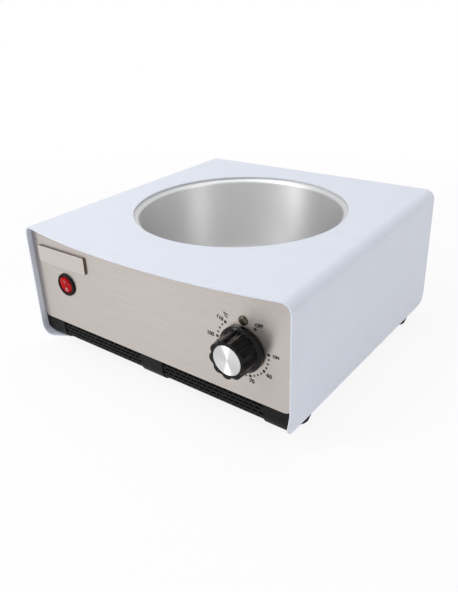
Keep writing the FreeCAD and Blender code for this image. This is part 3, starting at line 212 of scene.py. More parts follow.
slotMaterials = {
    "casing_paint": plainMaterial("casingPaint", *look("casingWhite"), scale=45, spread=0.012, bump=0.12, size=0.00006),
    "brushed_plate": brushedMaterial("brushedPlate", *look("plateSteel")),
    "black_moulding": plainMaterial("blackMoulding", *look("black"), scale=120, spread=0.2, bump=0.25, size=0.0001),
    "gloss_black": plainMaterial("glossBlack", *look("gloss"), scale=50, spread=0.2, bump=0.02, size=0.0001),
    "red_rocker": plainMaterial("redRocker", *look("red"), scale=90, spread=0.25, bump=0.02, size=0.0001),
    "spun_aluminium": spunMaterial("capAluminium", **finishes["capAluminium"]),
    "pot_aluminium": spunMaterial("potAluminium", **finishes["potAluminium"]),
    "bare_sheet": plainMaterial("bareSheet", (0.55, 0.56, 0.57), 0.42, 1.0, scale=70, spread=0.08),
    "zinc_screw": plainMaterial("zincScrew", (0.6, 0.59, 0.56), 0.3, 1.0, scale=400, spread=0.1),
    "brass": plainMaterial("brassBare", (0.72, 0.52, 0.24), 0.3, 1.0, scale=300, spread=0.08),
    "copper_tube": plainMaterial("copperTube", (0.72, 0.38, 0.24), 0.32, 1.0, scale=200, spread=0.1),
    "element_sheath": plainMaterial("elementSheath", (0.12, 0.11, 0.105), 0.55, 0.8, scale=150, spread=0.2),
    "white_ceramic": plainMaterial("whiteCeramic", (0.78, 0.75, 0.68), 0.5, scale=90, spread=0.05),
    "grey_seal": plainMaterial("greySeal", (0.55, 0.55, 0.56), 0.6, scale=150, spread=0.12),
    "foot_rubber": plainMaterial("footRubber", *look("rubber"), scale=200, spread=0.25, bump=0.2),
    "mineral_wool": plainMaterial("mineralWool", (0.68, 0.62, 0.45), 0.95, scale=220, spread=0.2, bump=0.8, size=0.001),
}
slotOf = {entry["node"]: entry["material_slot"] for entry in frame["record"]["subparts"]}
for nodeName, node in frame["nodes"].items():
    node.data.materials.clear()
    node.data.materials.append(slotMaterials[slotOf[nodeName]])
# painted shade: the panel screws by the knob get a dark metal colour for the shade under the knob's skirt
shadedScrew = plainMaterial("panelScrewShade", (0.09, 0.08, 0.06), 0.3, 1.0, scale=400, spread=0.3)
frame["nodes"]["thermostat_screws"].data.materials[0] = shadedScrew
for slotName, finish in (("black_moulding", "black"), ("gloss_black", "gloss"), ("red_rocker", "red"),
                         ("foot_rubber", "rubber")):
    shader = slotMaterials[slotName].node_tree.nodes["Principled BSDF"]
    shader.inputs["Specular IOR Level"].default_value = finishes[finish]["sheen"]
print("materials made:", len(slotMaterials))

# mesh helpers


def finishPiece(name, work, place, slotName, body="casing", replaced=(), angle=32, material=None):
    bmesh.ops.remove_doubles(work, verts=work.verts, dist=1e-7)
    bmesh.ops.recalc_face_normals(work, faces=work.faces)
    for edge in work.edges:
        edge.smooth = len(edge.link_faces) == 2 and edge.calc_face_angle(0) < math.radians(angle)
    for face in work.faces:
        face.smooth = True
    mesh = bpy.data.meshes.new(name)
    work.to_mesh(mesh)
    work.free()
    mesh.transform(place)
    piece = bpy.data.objects.new(name, mesh)
    bpy.context.scene.collection.objects.link(piece)
    mesh.materials.append(material or slotMaterials[slotName])
    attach(piece, body)
    if replaced:
        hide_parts(*replaced)
    return piece


def bevelPiece(piece, width, segments=2, angle=35):
    bevel = piece.modifiers.new("edges", "BEVEL")
    bevel.width = width
    bevel.segments = segments
    bevel.limit_method = "ANGLE"
    bevel.angle_limit = math.radians(angle)
    bevel.harden_normals = True


def lathe(work, profile, steps=128, shape=None, lengthOfV=0.01, spanOfU=8):  # (radius, height, share of shape), closed
    uv = work.loops.layers.uv.get("turned") or work.loops.layers.uv.new("turned")
    rings, lengths, run = [], [], 0.0
    for index, point in enumerate(profile):
        if index:
            run += math.dist(point[:2], profile[index - 1][:2])
        lengths.append(run / lengthOfV)
        if point[0] < 1e-7:
            rings.append([work.verts.new((0, 0, point[1]))])
            continue
        ring = []
        for step in range(steps):
            turn = 2 * math.pi * step / steps
            radius = point[0] + (shape(turn) * point[2] if shape and len(point) > 2 else 0.0)
            ring.append(work.verts.new((radius * math.cos(turn), radius * math.sin(turn), point[1])))
        rings.append(ring)
    for index in range(len(profile)):
        here, there = rings[index], rings[(index + 1) % len(rings)]
        if len(here) == 1 and len(there) == 1:
            continue
        low = lengths[index]
        high = lengths[index + 1] if index + 1 < len(lengths) else low + 1
        for step in range(steps):
            following = (step + 1) % steps
            a, b = here[step % len(here)], here[following % len(here)]
            c, d = there[following % len(there)], there[step % len(there)]
            corners = [(a, step, low), (b, step + 1, low), (c, step + 1, high), (d, step, high)]
            if len(here) == 1:
                corners = [corners[0], corners[2], corners[3]]
            if len(there) == 1:
                corners = corners[:3]
            face = work.faces.new([corner[0] for corner in corners])
            for loop, corner in zip(face.loops, corners):
                loop[uv].uv = (corner[1] / steps * spanOfU, corner[2])


def arcPoints(centreX, centreY, radius, start, end, count):
    return [(centreX + radius * math.cos(math.radians(start + (end - start) * step / count)),
             centreY + radius * math.sin(math.radians(start + (end - start) * step / count)))
            for step in range(count + 1)]


def circlePoints(centreX, centreY, radius, count=64):
    return arcPoints(centreX, centreY, radius, 0, 360 * (count - 1) / count, count - 1)


def flatSheet(work, loops, height, thickness):  # first loop outside, others holes, solid from height down
    edges = []
    for loop in loops:
        verts = [work.verts.new((point[0], point[1], height)) for point in loop]
        edges += [work.edges.new((verts[index], verts[(index + 1) % len(verts)])) for index in range(len(verts))]
    filled = bmesh.ops.triangle_fill(work, use_beauty=True, use_dissolve=False, edges=edges)
    faces = [item for item in filled["geom"] if isinstance(item, bmesh.types.BMFace)]
    grown = bmesh.ops.extrude_face_region(work, geom=faces, use_keep_orig=True)
    moved = [item for item in grown["geom"] if isinstance(item, bmesh.types.BMVert)]
    bmesh.ops.translate(work, verts=moved, vec=(0, 0, -thickness))


def rod(work, radius, start, end, steps=24):  # closed cylinder between two points
    start, end = Vector(start), Vector(end)
    turned = (end - start).to_track_quat("Z", "Y").to_matrix().to_4x4()
    bmesh.ops.create_cone(work, cap_ends=True, segments=steps, radius1=radius, radius2=radius,
                          depth=(end - start).length, matrix=Matrix.Translation((start + end) / 2) @ turned)


def block(work, low, high):
    size = [high[axis] - low[axis] for axis in range(3)]
    middle = [(high[axis] + low[axis]) / 2 for axis in range(3)]
    bmesh.ops.create_cube(work, size=1.0, matrix=Matrix.Translation(middle) @ Matrix.Diagonal((*size, 1)))


# casing

casing = {"sheet": 0.0015, "topBend": 0.010, "bottomBend": 0.014, "flange": 0.024, "edge": 0.00035,
          "pinchTop": 0.025, "pinchRange": 0.015, "pinchDepth": 0.008, "rearTop": 0.024, "rearRound": 0.017,
          "wellRadius": 0.1085, "wellCentre": 0.153, "wellSteps": 160, "bowSteps": 64, "depthSteps": 48,
          "bendSteps": 14, "frontDepths": [0, 0.001, 0.002, 0.0035, 0.005, 0.007, 0.009], "evenFrom": 0.0125,
          "wallShares": (0.25, 0.5, 0.75), "wallFoot": 0.032,
          "lowHeights": (0.03, 0.027, 0.024, 0.022, 0.02, 0.018, 0.016)}
frontCorner = {  # bottom front corner of the right and of the left side
    1: {"cut": 0.014, "reach": 0.0045, "power": 1.6, "pinch": 0.003},
    -1: {"cut": 0.014, "reach": 0.018, "power": 2.5, "pinch": 0.0}}
flanges = {"depth": 0.014, "foot": 0.021, "belowBend": 0.004, "overlap": 0.0004, "inset": 0.00005, "edge": 0.0002,
           "studTurns": (45, 135, 225, 315), "studCircle": 0.125, "studRadius": 0.002, "studTop": -0.001,
           "studEnd": -0.0135}
halfWidth = lean["width"] / 2


def bowAt(x):  # front edge of the top, bowed out
    chord = halfWidth - casing["sheet"]
    radius = (chord ** 2 + lean["visorBow"] ** 2) / (2 * lean["visorBow"])
    return radius - lean["visorBow"] - math.sqrt(max(radius ** 2 - x ** 2, 0)) if abs(x) < chord else 0.0


def cutAt(x, side):  # how far the front corner of the bottom flange is cut back
    corner = frontCorner[side]
    return corner["cut"] * (1 - math.exp(-(max(halfWidth - x, 0) / corner["reach"]) ** corner["power"]))


def pinchAt(depth, zLevel, side):  # how far the wall's bottom front corner is drawn in
    reach = max(1 - depth / casing["pinchDepth"], 0) ** 2
    share = min(max((casing["pinchTop"] - zLevel) / casing["pinchRange"], 0), 1)
    return frontCorner[side]["pinch"] * reach * share


def rearAt(zLevel):  # depth of the casing, less where its bottom rear corner is rounded
    drop = min(max(casing["rearTop"] - zLevel, 0), casing["rearRound"])
    return lean["depth"] - casing["rearRound"] + math.sqrt(casing["rearRound"] ** 2 - drop ** 2)


def leanPoint(x, yb, zLevel):  # on the wall or flange at a level height, at a depth measured along the top
    y = (yb - (zLevel - lean["frontHeight"] * cosT) * sinT) / cosT - lean["frontHeight"] * sinT
    back, up = levelToLean(y, zLevel)
    return x, back, up


work = bmesh.new()
depths = casing["frontDepths"] + [
    casing["evenFrom"] + (lean["depth"] - casing["evenFrom"]) * step / casing["depthSteps"]
    for step in range(casing["depthSteps"] + 1)]
path = []
topR, botR = casing["topBend"], casing["bottomBend"]
for point in arcPoints(halfWidth - topR, -topR, topR, 90, 0, casing["bendSteps"]):
    path.append(("top", point[0], point[1]))
for share in casing["wallShares"]:
    path.append(("wall", halfWidth, share))
for height in casing["lowHeights"]:
    path.append(("low", halfWidth, height))
for point in arcPoints(halfWidth - botR, botR, botR, 0, -90, casing["bendSteps"]):
    path.append(("low", point[0], point[1]))
path.append(("low", halfWidth - casing["flange"], 0.0))
edgeVerts = {}
for side in (1, -1):
    rows = []
    for kind, x, value in path:
        row = []
        for depth in depths:
            if kind == "top":
                front = bowAt(x) if x < halfWidth - casing["sheet"] else 0.0
                spot = (x, front + (lean["depth"] - front) * depth / lean["depth"], value)
            elif kind == "low":
                front = cutAt(x, side)
                back = front + (rearAt(value) - front) * depth / lean["depth"]
                spot = leanPoint(x - pinchAt(back, value, side), back, value)
            else:
                foot = leanPoint(x, depth, casing["wallFoot"])[2]
                spot = (x, depth, -topR + (foot + topR) * value)
            row.append(work.verts.new((side * spot[0], spot[1], spot[2])))
        rows.append(row)
    for upper, lower in zip(rows, rows[1:]):
        for index in range(len(depths) - 1):
            work.faces.new((upper[index], upper[index + 1], lower[index + 1], lower[index]))
    edgeVerts[side] = rows[0]
innerX = halfWidth - topR
bowXs = [innerX * (1 - 2 * step / casing["bowSteps"]) for step in range(1, casing["bowSteps"])]
frontRow = [work.verts.new((x, bowAt(x), 0)) for x in bowXs]
backRow = [work.verts.new((x, lean["depth"], 0)) for x in reversed(bowXs)]
ringRow = [work.verts.new((point[0], point[1], 0)) for point in
           circlePoints(0, casing["wellCentre"], casing["wellRadius"], casing["wellSteps"])]
outer = list(reversed(edgeVerts[1])) + frontRow + edgeVerts[-1] + backRow
border = []
for loop in (outer, ringRow):
    for index in range(len(loop)):
        pair = (loop[index], loop[(index + 1) % len(loop)])
        border.append(work.edges.get(pair) or work.edges.new(pair))
bmesh.ops.triangle_fill(work, use_beauty=True, use_dissolve=False, edges=border)
casingPiece = finishPiece("casingShell", work, leaning, "casing_paint", replaced=["outer_shell"])
solid = casingPiece.modifiers.new("sheet", "SOLIDIFY")
solid.thickness = casing["sheet"]
solid.offset = -1.0
solid.use_even_offset = True
bevelPiece(casingPiece, casing["edge"], 2, 50)

work = bmesh.new()
inside = halfWidth - casing["sheet"]
flangeFoot = leanPoint(0, lean["depth"], flanges["foot"])[2]
flangeBack = lean["depth"] - flanges["inset"]
for side in (1, -1):
    ends = sorted((side * (inside - flanges["depth"]), side * (inside + flanges["overlap"])))
    block(work, (ends[0], lean["depth"] - casing["sheet"], flangeFoot),
          (ends[1], flangeBack, -topR - flanges["belowBend"]))
block(work, (-innerX + flanges["belowBend"], lean["depth"] - casing["sheet"], -casing["sheet"] - flanges["depth"]),
      (innerX - flanges["belowBend"], flangeBack, -casing["sheet"] + flanges["overlap"]))
for turn in flanges["studTurns"]:  # studs for the pot's clips
    angle = math.radians(turn)
    spot = (flanges["studCircle"] * math.cos(angle), casing["wellCentre"] + flanges["studCircle"] * math.sin(angle))
    rod(work, flanges["studRadius"], (*spot, flanges["studTop"]), (*spot, flanges["studEnd"]))
flangePiece = finishPiece("casingFlanges", work, leaning, "casing_paint")
bevelPiece(flangePiece, flanges["edge"])
print("casing made")

# front plate and its printing

plate = {"setback": 0.0054, "thickness": 0.0012, "gap": 0.0005, "bottom": 0.1008, "corner": 0.0045,
         "rightCorner": 0.008, "edge": 0.00015, "switchX": -0.1045, "dialX": 0.103, "controlZ": -0.055,
         "screwAside": 0.0015, "upperScrew": 0.0252, "lowerScrew": 0.014, "switchHole": 0.0102, "shaftHole": 0.005,
         "screwHole": 0.0023, "studX": 0.139, "studHeights": (-0.026, -0.074), "studRadius": 0.002,
         "studTop": -0.0008, "studEnd": -0.0106}
plateFrame = leaning @ Matrix.Translation((0, plate["setback"], 0)) @ Matrix.Rotation(math.radians(90), 4, "X")
edgeX = halfWidth - casing["sheet"] - plate["gap"]
topRound = topR - casing["sheet"] - plate["gap"]
outlinePoints = []
for corner in (plate["rightCorner"], plate["corner"]):
    half = arcPoints(edgeX - corner, corner - plate["bottom"], corner, -90, 0, 8)
    half += arcPoints(edgeX - topRound, -topR, topRound, 0, 90, 10)
    outlinePoints += half if not outlinePoints else [(-x, y) for x, y in reversed(half)]
screwX = plate["dialX"] + plate["screwAside"]
holes = [circlePoints(plate["switchX"], plate["controlZ"], plate["switchHole"], 48),
         circlePoints(plate["dialX"], plate["controlZ"], plate["shaftHole"], 32),
         circlePoints(screwX, plate["controlZ"] + plate["upperScrew"], plate["screwHole"], 24),
         circlePoints(screwX, plate["controlZ"] - plate["lowerScrew"], plate["screwHole"], 24)]
work = bmesh.new()
flatSheet(work, [outlinePoints] + holes, 0, plate["thickness"])
for height in plate["studHeights"]:
    for x in (-plate["studX"], plate["studX"]):
        rod(work, plate["studRadius"], (x, height, plate["studTop"]), (x, height, plate["studEnd"]))
layer = work.loops.layers.uv.new("brushed")
for face in work.faces:
    for loop in face.loops:
        loop[layer].uv = (loop.vert.co.x, loop.vert.co.y)
plateFace = brushedMaterial("frontPlateFace", **finishes["plateSteel"], spread=0.03, bump=0.03)
platePiece = finishPiece("frontPlate", work, plateFrame, "brushed_plate", replaced=["front_panel"], material=plateFace)
bevelPiece(platePiece, plate["edge"])

dial = {"dotCircle": 0.0242, "bigDot": 0.00142, "smallDot": 0.00096, "bold": 0.00028, "rise": 0.00003,
        "sink": 0.00002, "ink": (0.012, 0.012, 0.013), "offMark": 30.5,  # marks in degrees clockwise from the top
        "marks": [84.8, 125.3, 163.3, 201.4, 239.5, 277.7, 319.8], "between": (0.25, 0.5, 0.75)}
labels = [("OFF", 15.7, 24.7, 6, 4.1), ("ON", 30.5, 2.4, 0, 3.5), ("60", 24.4, -16.8, -13, 4.9),
          ("70", 8.4, -27.6, -4, 4.9), ("80", -10.9, -27.9, -4, 4.9), ("90", -25.8, -15.2, -4, 4.9),
          ("100", -31.0, 3.3, -4, 4.8), ("110", -20.9, 20.9, -22, 4.5),
          ("\u00b0C", -15.3, 24.9, -20, 4.4)]  # middle in mm from the shaft, tilt and height of letters in mm
inkMaterial = plainMaterial("printedInk", dial["ink"], 0.55, scale=300, spread=0.3)


def inkText(work, words, size, place):  # flat letters, turned and moved by place
    curve = bpy.data.curves.new("letters", "FONT")
    curve.body = words
    curve.size = size
    curve.align_x = "CENTER"
    curve.align_y = "CENTER"
    curve.extrude = dial["rise"] / 2
    curve.offset = dial["bold"]
    holder = bpy.data.objects.new("letters", curve)
    bpy.context.scene.collection.objects.link(holder)
    bpy.context.view_layer.update()
    mesh = holder.to_mesh().copy()
    mesh.transform(place)
    work.from_mesh(mesh)
    bpy.data.objects.remove(holder)
    bpy.data.curves.remove(curve)
    bpy.data.meshes.remove(mesh)


work = bmesh.new()
marks = dial["marks"]
dots = [(mark, "bigDot") for mark in [dial["offMark"]] + marks]
for mark, following in zip(marks, marks[1:]):
    dots += [(mark + (following - mark) * share, "smallDot") for share in dial["between"]]
for angle, dotSize in dots:
    turn = math.radians(90 - angle)
    spot = (dial["dotCircle"] * math.cos(turn), dial["dotCircle"] * math.sin(turn))
    rod(work, dial[dotSize], (*spot, -dial["sink"]), (*spot, dial["rise"]), 20)
for words, x, y, turn, size in labels:
    inkText(work, words, size / 1000, Matrix.Translation((x / 1000, y / 1000, dial["rise"] / 2)) @ Matrix.Rotation(
        math.radians(turn), 4, "Z"))
finishPiece("dialPrinting", work, controlAt(plate["dialX"], plate["controlZ"]), "gloss_black", material=inkMaterial)
print("front plate made")

namePlate = {"width": 0.066, "height": 0.017, "thickness": 0.002, "x": -0.1058, "z": -0.0282, "corner": 0.0016,
             "edge": 0.00035, "brightness": 1.18, "sideShadeColour": (0.16, 0.13, 0.105)}
work = bmesh.new()
halfW, halfH, corner = namePlate["width"] / 2, namePlate["height"] / 2, namePlate["corner"]
loop = []
for x, y, start in ((1, -1, -90), (1, 1, 0), (-1, 1, 90), (-1, -1, 180)):
    loop += arcPoints(namePlate["x"] + x * (halfW - corner), namePlate["z"] + y * (halfH - corner), corner, start,
                      start + 90, 6)
flatSheet(work, [loop], namePlate["thickness"], namePlate["thickness"])
nameFace = brushedMaterial("namePlateFace", shade(finishes["plateSteel"]["colour"], namePlate["brightness"]),
                           finishes["plateSteel"]["rough"])
# painted shade: the plate's side faces get a dark metal colour that stands in for the dark reflections and shade they
# show
nameSideShade = plainMaterial("namePlateSideShade", namePlate["sideShadeColour"], 0.4, 1.0, scale=300, spread=0.2)
namePiece = finishPiece("namePlateBlank", work, plateFrame, "brushed_plate", replaced=["name_plate"], material=nameFace)
namePiece.data.materials.append(nameSideShade)
outward = plateFrame.to_3x3() @ Vector((0, 0, 1))
# side faces take the painted-shade material
for polygon in namePiece.data.polygons:
    if abs(polygon.normal.dot(outward)) < 0.5:
        polygon.material_index = 1
bevelPiece(namePiece, namePlate["edge"], 3)

# pot and its seal

pot = {"rim": 0.0025, "wall": 0.002, "radius": 0.1033, "depth": 0.0915, "slope": 22.0, "round": 0.003, "draft": 3.5,
       "corner": 0.012, "flange": 0.116, "steps": 192, "sunk": 0.0002, "studTurns": (54, 174, 294),
       "studCircle": 0.04, "studRadius": 0.002, "studLength": 0.016, "pinX": 0.012, "pinRadius": 0.0015,
       "pinLength": 0.0055}
seal = {"inner": 0.109, "outer": 0.116, "top": -0.0015, "bottom": -0.0025, "roundIn": 0.0005, "roundDown": 0.0003}
potFrame = leaning @ Matrix.Translation((0, casing["wellCentre"], 0))
slope, draft = math.radians(pot["slope"]), math.radians(pot["draft"])
lipX = pot["radius"] + pot["round"] * (math.cos(draft) - math.sin(slope))
lipZ = -pot["rim"] - (casing["wellRadius"] - lipX) * math.tan(slope)
lipCentre = (lipX + pot["round"] * math.sin(slope), lipZ - pot["round"] * math.cos(slope))
throatZ = lipZ - pot["round"] * (math.cos(slope) - math.sin(draft))
floorZ = -casing["sheet"] - pot["depth"]
footZ = floorZ + pot["corner"] * (1 - math.sin(draft))
footX = pot["radius"] - (throatZ - footZ) * math.tan(draft)
footCentre = (footX - pot["corner"] * math.cos(draft), floorZ + pot["corner"])


def potLine(offset):  # run of the pot's skin from the flange to the middle of its floor
    line = [(pot["flange"], -pot["rim"] - offset),
            (casing["wellRadius"] + offset * math.tan(slope / 2), -pot["rim"] - offset)]
    line += arcPoints(lipCentre[0], lipCentre[1], pot["round"] - offset, 90 + pot["slope"], 180 + pot["draft"], 8)
    line += arcPoints(footCentre[0], footCentre[1], pot["corner"] + offset, -pot["draft"], -90, 12)
    line += [(0.06, floorZ - offset), (0.03, floorZ - offset), (0, floorZ - offset)]
    return line


work = bmesh.new()
lathe(work, potLine(0) + list(reversed(potLine(pot["wall"]))), pot["steps"])
floorUnder = floorZ - pot["wall"]
for turn in pot["studTurns"]:
    spot = (pot["studCircle"] * math.cos(math.radians(turn)), pot["studCircle"] * math.sin(math.radians(turn)))
    rod(work, pot["studRadius"], (*spot, floorUnder + pot["sunk"]), (*spot, floorUnder - pot["studLength"]))
for x in (-pot["pinX"], pot["pinX"]):
    rod(work, pot["pinRadius"], (x, 0, floorUnder + pot["sunk"]), (x, 0, floorUnder - pot["pinLength"]))
finishPiece("spunPot", work, potFrame, "pot_aluminium", replaced=["melting_pot"])
work = bmesh.new()
sealRound = seal["outer"] - seal["roundIn"]
lathe(work, [(seal["inner"], seal["top"]), (sealRound, seal["top"]), (seal["outer"], seal["top"] - seal["roundDown"]),
             (seal["outer"], seal["bottom"] + seal["roundDown"]), (sealRound, seal["bottom"]),
             (seal["inner"], seal["bottom"])], pot["steps"])
finishPiece("rimSeal", work, potFrame, "grey_seal", replaced=["pot_gasket"])
print("pot made")

# rocker switch

switch = {"bezel": 0.0117, "barrel": 0.01, "cavity": 0.0091, "proud": 0.002, "depth": 0.022, "cavityDepth": 0.011,
          "outerRound": 0.0012, "innerRound": 0.0006, "rocker": 0.0088, "flat": 0.0083, "pivot": -0.0004,
          "fold": 9.0, "faceTop": 0.0019, "valley": 0.0011, "inset": 0.0005, "edgeInset": 0.0002,
          "edgeDrops": (0.0004, 0.0011), "sides": (-0.001, -0.004, -0.007), "pin": 0.0012, "steps": 72,
          "shares": (0.0, 0.25, 0.5, 0.7, 0.84, 0.93)}
switchFrame = controlAt(plate["switchX"], plate["controlZ"])
work = bmesh.new()
outerRound, innerRound = switch["outerRound"], switch["innerRound"]
profile = [(0, -switch["depth"]), (switch["barrel"], -switch["depth"]), (switch["barrel"], 0), (switch["bezel"], 0)]
profile += arcPoints(switch["bezel"] - outerRound, switch["proud"] - outerRound, outerRound, 0, 90, 5)
profile += arcPoints(switch["cavity"] + innerRound, switch["proud"] - innerRound, innerRound, 90, 180, 4)
profile += [(switch["cavity"], -switch["cavityDepth"]), (0, -switch["cavityDepth"])]
lathe(work, profile, switch["steps"])
finishPiece("switchBezel", work, switchFrame, "black_moulding", replaced=["switch_housing"])

rockerFrame = switchFrame @ Matrix.Translation((0, 0, switch["pivot"])) @ Matrix.Rotation(
    math.radians(switch["fold"]), 4, "X")
work = bmesh.new()
foldSlope = math.tan(math.radians(switch["fold"]))


def rockerFace(y):  # shallow valley between the two halves
    return switch["faceTop"] + math.hypot(y, switch["valley"]) * foldSlope - switch["valley"] * foldSlope


def reachAt(height):  # radius of the rocker's round side
    return math.sqrt(switch["rocker"] ** 2 - height ** 2)


rimRings = []
lastShare = switch["shares"][-1]
for share in switch["shares"]:
    ring = []
    for step in range(switch["steps"]):
        turn = 2 * math.pi * step / switch["steps"]
        reach = reachAt(rockerFace(switch["flat"] * math.sin(turn))) - switch["inset"]
        x, y = share / lastShare * reach * math.cos(turn), share / lastShare * reach * math.sin(turn)
        ring.append((x, y, rockerFace(y)))
    rimRings.append(ring if share else [(0, 0, rockerFace(0))])
faceRim = rimRings[-1]
for drop, inset in zip(switch["edgeDrops"], (switch["edgeInset"], 0)):
    ring = []
    for x, y, z in faceRim:
        reach = reachAt(z - drop) - inset
        flat = math.hypot(x, y)
        ring.append((x / flat * reach, y / flat * reach, z - drop))
    rimRings.append(ring)
for height in switch["sides"]:
    turns = [2 * math.pi * step / switch["steps"] for step in range(switch["steps"])]
    rimRings.append([(reachAt(height) * math.cos(turn), reachAt(height) * math.sin(turn), height) for turn in turns])
rimRings.append([(0, 0, switch["sides"][-1])])
made = [[work.verts.new(spot) for spot in ring] for ring in rimRings]
for here, there in zip(made, made[1:]):
    for step in range(switch["steps"]):
        following = (step + 1) % switch["steps"]
        corners = [here[step % len(here)], here[following % len(here)], there[following % len(there)],
                   there[step % len(there)]]
        work.faces.new(list(dict.fromkeys(corners)))
pinReach = switch["cavity"] + innerRound
rod(work, switch["pin"], (-pinReach, 0, 0), (pinReach, 0, 0), 20)
finishPiece("rockerButton", work, rockerFrame, "red_rocker", body="rocker", replaced=["switch_rocker"])

marking = {"colour": (0.72, 0.42, 0.4), "rise": 0.00006, "lineHalf": 0.00035, "lineFrom": 0.003, "lineTo": 0.006,
           "ringCentre": -0.0046, "ringInner": 0.0011, "ringOuter": 0.0018, "steps": 40}
markMaterial = plainMaterial("rockerMarks", marking["colour"], 0.4, scale=400, spread=0.05)
work = bmesh.new()
block(work, (-marking["lineHalf"], marking["lineFrom"], 0.0),
      (marking["lineHalf"], marking["lineTo"], marking["rise"]))
for vertex in work.verts:
    vertex.co.z += rockerFace(vertex.co.y)
markSteps = marking["steps"]
rings = []
for radius, lift in ((marking["ringInner"], 0), (marking["ringInner"], marking["rise"]),
                     (marking["ringOuter"], marking["rise"]), (marking["ringOuter"], 0)):
    ring = []
    for step in range(markSteps):
        turn = 2 * math.pi * step / markSteps
        x, y = radius * math.cos(turn), marking["ringCentre"] + radius * math.sin(turn)
        ring.append(work.verts.new((x, y, rockerFace(y) + lift)))
    rings.append(ring)
for here, there in zip(rings, rings[1:] + rings[:1]):
    for step in range(markSteps):
        following = (step + 1) % markSteps
        work.faces.new((here[step], here[following], there[following], there[step]))
finishPiece("rockerMarks", work, rockerFrame, "red_rocker", body="rocker", material=markMaterial)
print("switch made")

# control knob

knob = {"pointer": 29.6, "skirt": 0.02, "skirtWall": 0.0013, "gap": 0.0006, "skirtTop": 0.0042, "skirtRound": 0.0009,
        "under": 0.0032, "foot": 0.0173, "footHeight": 0.0055, "head": 0.0162, "height": 0.0214, "edge": 0.0006,
        "capRadius": 0.0128, "capSeat": 0.02, "capGap": 0.00015, "bore": 0.00505, "boreTop": 0.0158, "hub": 0.008,
        "hubFoot": 0.0018, "innerTop": 0.0169, "inner": 0.0132, "soft": 0.0002, "chamfer": 0.0003, "steps": 360,
        "collar": ((0.0013, 0.0003), (0.0017, 0.0006)),  # in from the skirt's edge, up from its top
        "gripShares": (0.25, 0.5, 0.75, 0.95)}
pointer = {"halfWidth": 0.0006, "from": 0.0165, "to": 0.0189, "bottom": 0.004, "top": 0.0048, "edge": 0.00025}
lobe = {"count": 9, "turn": 8.6, "span": 12.5,  # turn and half span in degrees, the rest shares of the grip's radius
        "reach": 0.97, "crest": 0.32, "hollow": 0.2}
knobFrame = controlAt(plate["dialX"], plate["controlZ"]) @ Matrix.Rotation(math.radians(-knob["pointer"]), 4, "Z")
lobePitch = math.radians(360 / lobe["count"])
lobeSpan = math.radians(lobe["span"])
crestCentre = lobe["reach"] * math.cos(lobeSpan) - math.sqrt(
    lobe["crest"] ** 2 - (lobe["reach"] * math.sin(lobeSpan)) ** 2)
hollowSpan = lobePitch / 2 - lobeSpan
hollowCentre = lobe["reach"] * math.cos(hollowSpan) + math.sqrt(
    lobe["hollow"] ** 2 - (lobe["reach"] * math.sin(hollowSpan)) ** 2)
hollowFloor = hollowCentre - lobe["hollow"]


def lobeShape(turn):  # how far the grip's outline stands out from the bottom of its hollows
    across = (turn - math.radians(90 + lobe["turn"]) + lobePitch / 2) % lobePitch - lobePitch / 2
    if abs(across) < lobeSpan:
        reach = crestCentre * math.cos(across)
        reach += math.sqrt(lobe["crest"] ** 2 - (crestCentre * math.sin(across)) ** 2)
    else:
        across = lobePitch / 2 - abs(across)
        reach = hollowCentre * math.cos(across)
        reach -= math.sqrt(lobe["hollow"] ** 2 - (hollowCentre * math.sin(across)) ** 2)
    return reach - hollowFloor


def gripRing(radius, height):
    return radius * hollowFloor, height, radius


skirt, rim, under, gap = knob["skirt"], knob["skirt"] - knob["skirtWall"], knob["under"], knob["gap"]
inner, hub, skirtRound, soft, chamfer = knob["inner"], knob["hub"], knob["skirtRound"], knob["soft"], knob["chamfer"]
profile = [(0, knob["boreTop"]), (knob["bore"], knob["boreTop"]), (knob["bore"], knob["hubFoot"]),
           (hub - soft, knob["hubFoot"]), (hub, knob["hubFoot"] + soft), (hub, knob["innerTop"]),
           (inner - chamfer, knob["innerTop"]), (inner, knob["innerTop"] - chamfer), (inner, under + 2 * soft),
           (inner + 2 * soft, under), (rim - chamfer, under), (rim, under - chamfer), (rim, gap + soft / 2),
           (rim + soft / 2, gap), (skirt - soft, gap), (skirt, gap + soft)]
profile += arcPoints(skirt - skirtRound, knob["skirtTop"] - skirtRound, skirtRound, 0, 80, 6)
profile += [(skirt - inward, knob["skirtTop"] + rise) for inward, rise in knob["collar"]]
profile += [gripRing(knob["foot"] + soft, knob["footHeight"] - 2 * soft), gripRing(knob["foot"], knob["footHeight"])]
for share in knob["gripShares"]:
    radius = knob["foot"] + (knob["head"] - knob["foot"]) * share
    rise = (knob["height"] - knob["edge"] - knob["footHeight"]) * share
    profile.append(gripRing(radius, knob["footHeight"] + rise))
for angle in (0, 22, 45, 67, 90):
    inset = knob["edge"] * (1 - math.cos(math.radians(angle)))
    drop = knob["edge"] * (1 - math.sin(math.radians(angle)))
    radius, height, reach = gripRing(knob["head"], knob["height"] - drop)
    profile.append((radius - inset, height, reach))
recess = knob["capRadius"] + knob["capGap"]
profile += [(recess + knob["capGap"], knob["height"]), (recess, knob["height"] - knob["capGap"]),
            (recess, knob["capSeat"]), (0, knob["capSeat"])]
work = bmesh.new()
lathe(work, profile, knob["steps"], lobeShape)
finishPiece("knobGrip", work, knobFrame, "gloss_black", body="knob", replaced=["knob_body"], angle=40)
work = bmesh.new()
block(work, (-pointer["halfWidth"], pointer["from"], pointer["bottom"]),
      (pointer["halfWidth"], pointer["to"], pointer["top"]))
pointerPiece = finishPiece("knobPointer", work, knobFrame, "gloss_black", body="knob")
bevelPiece(pointerPiece, pointer["edge"], 3)

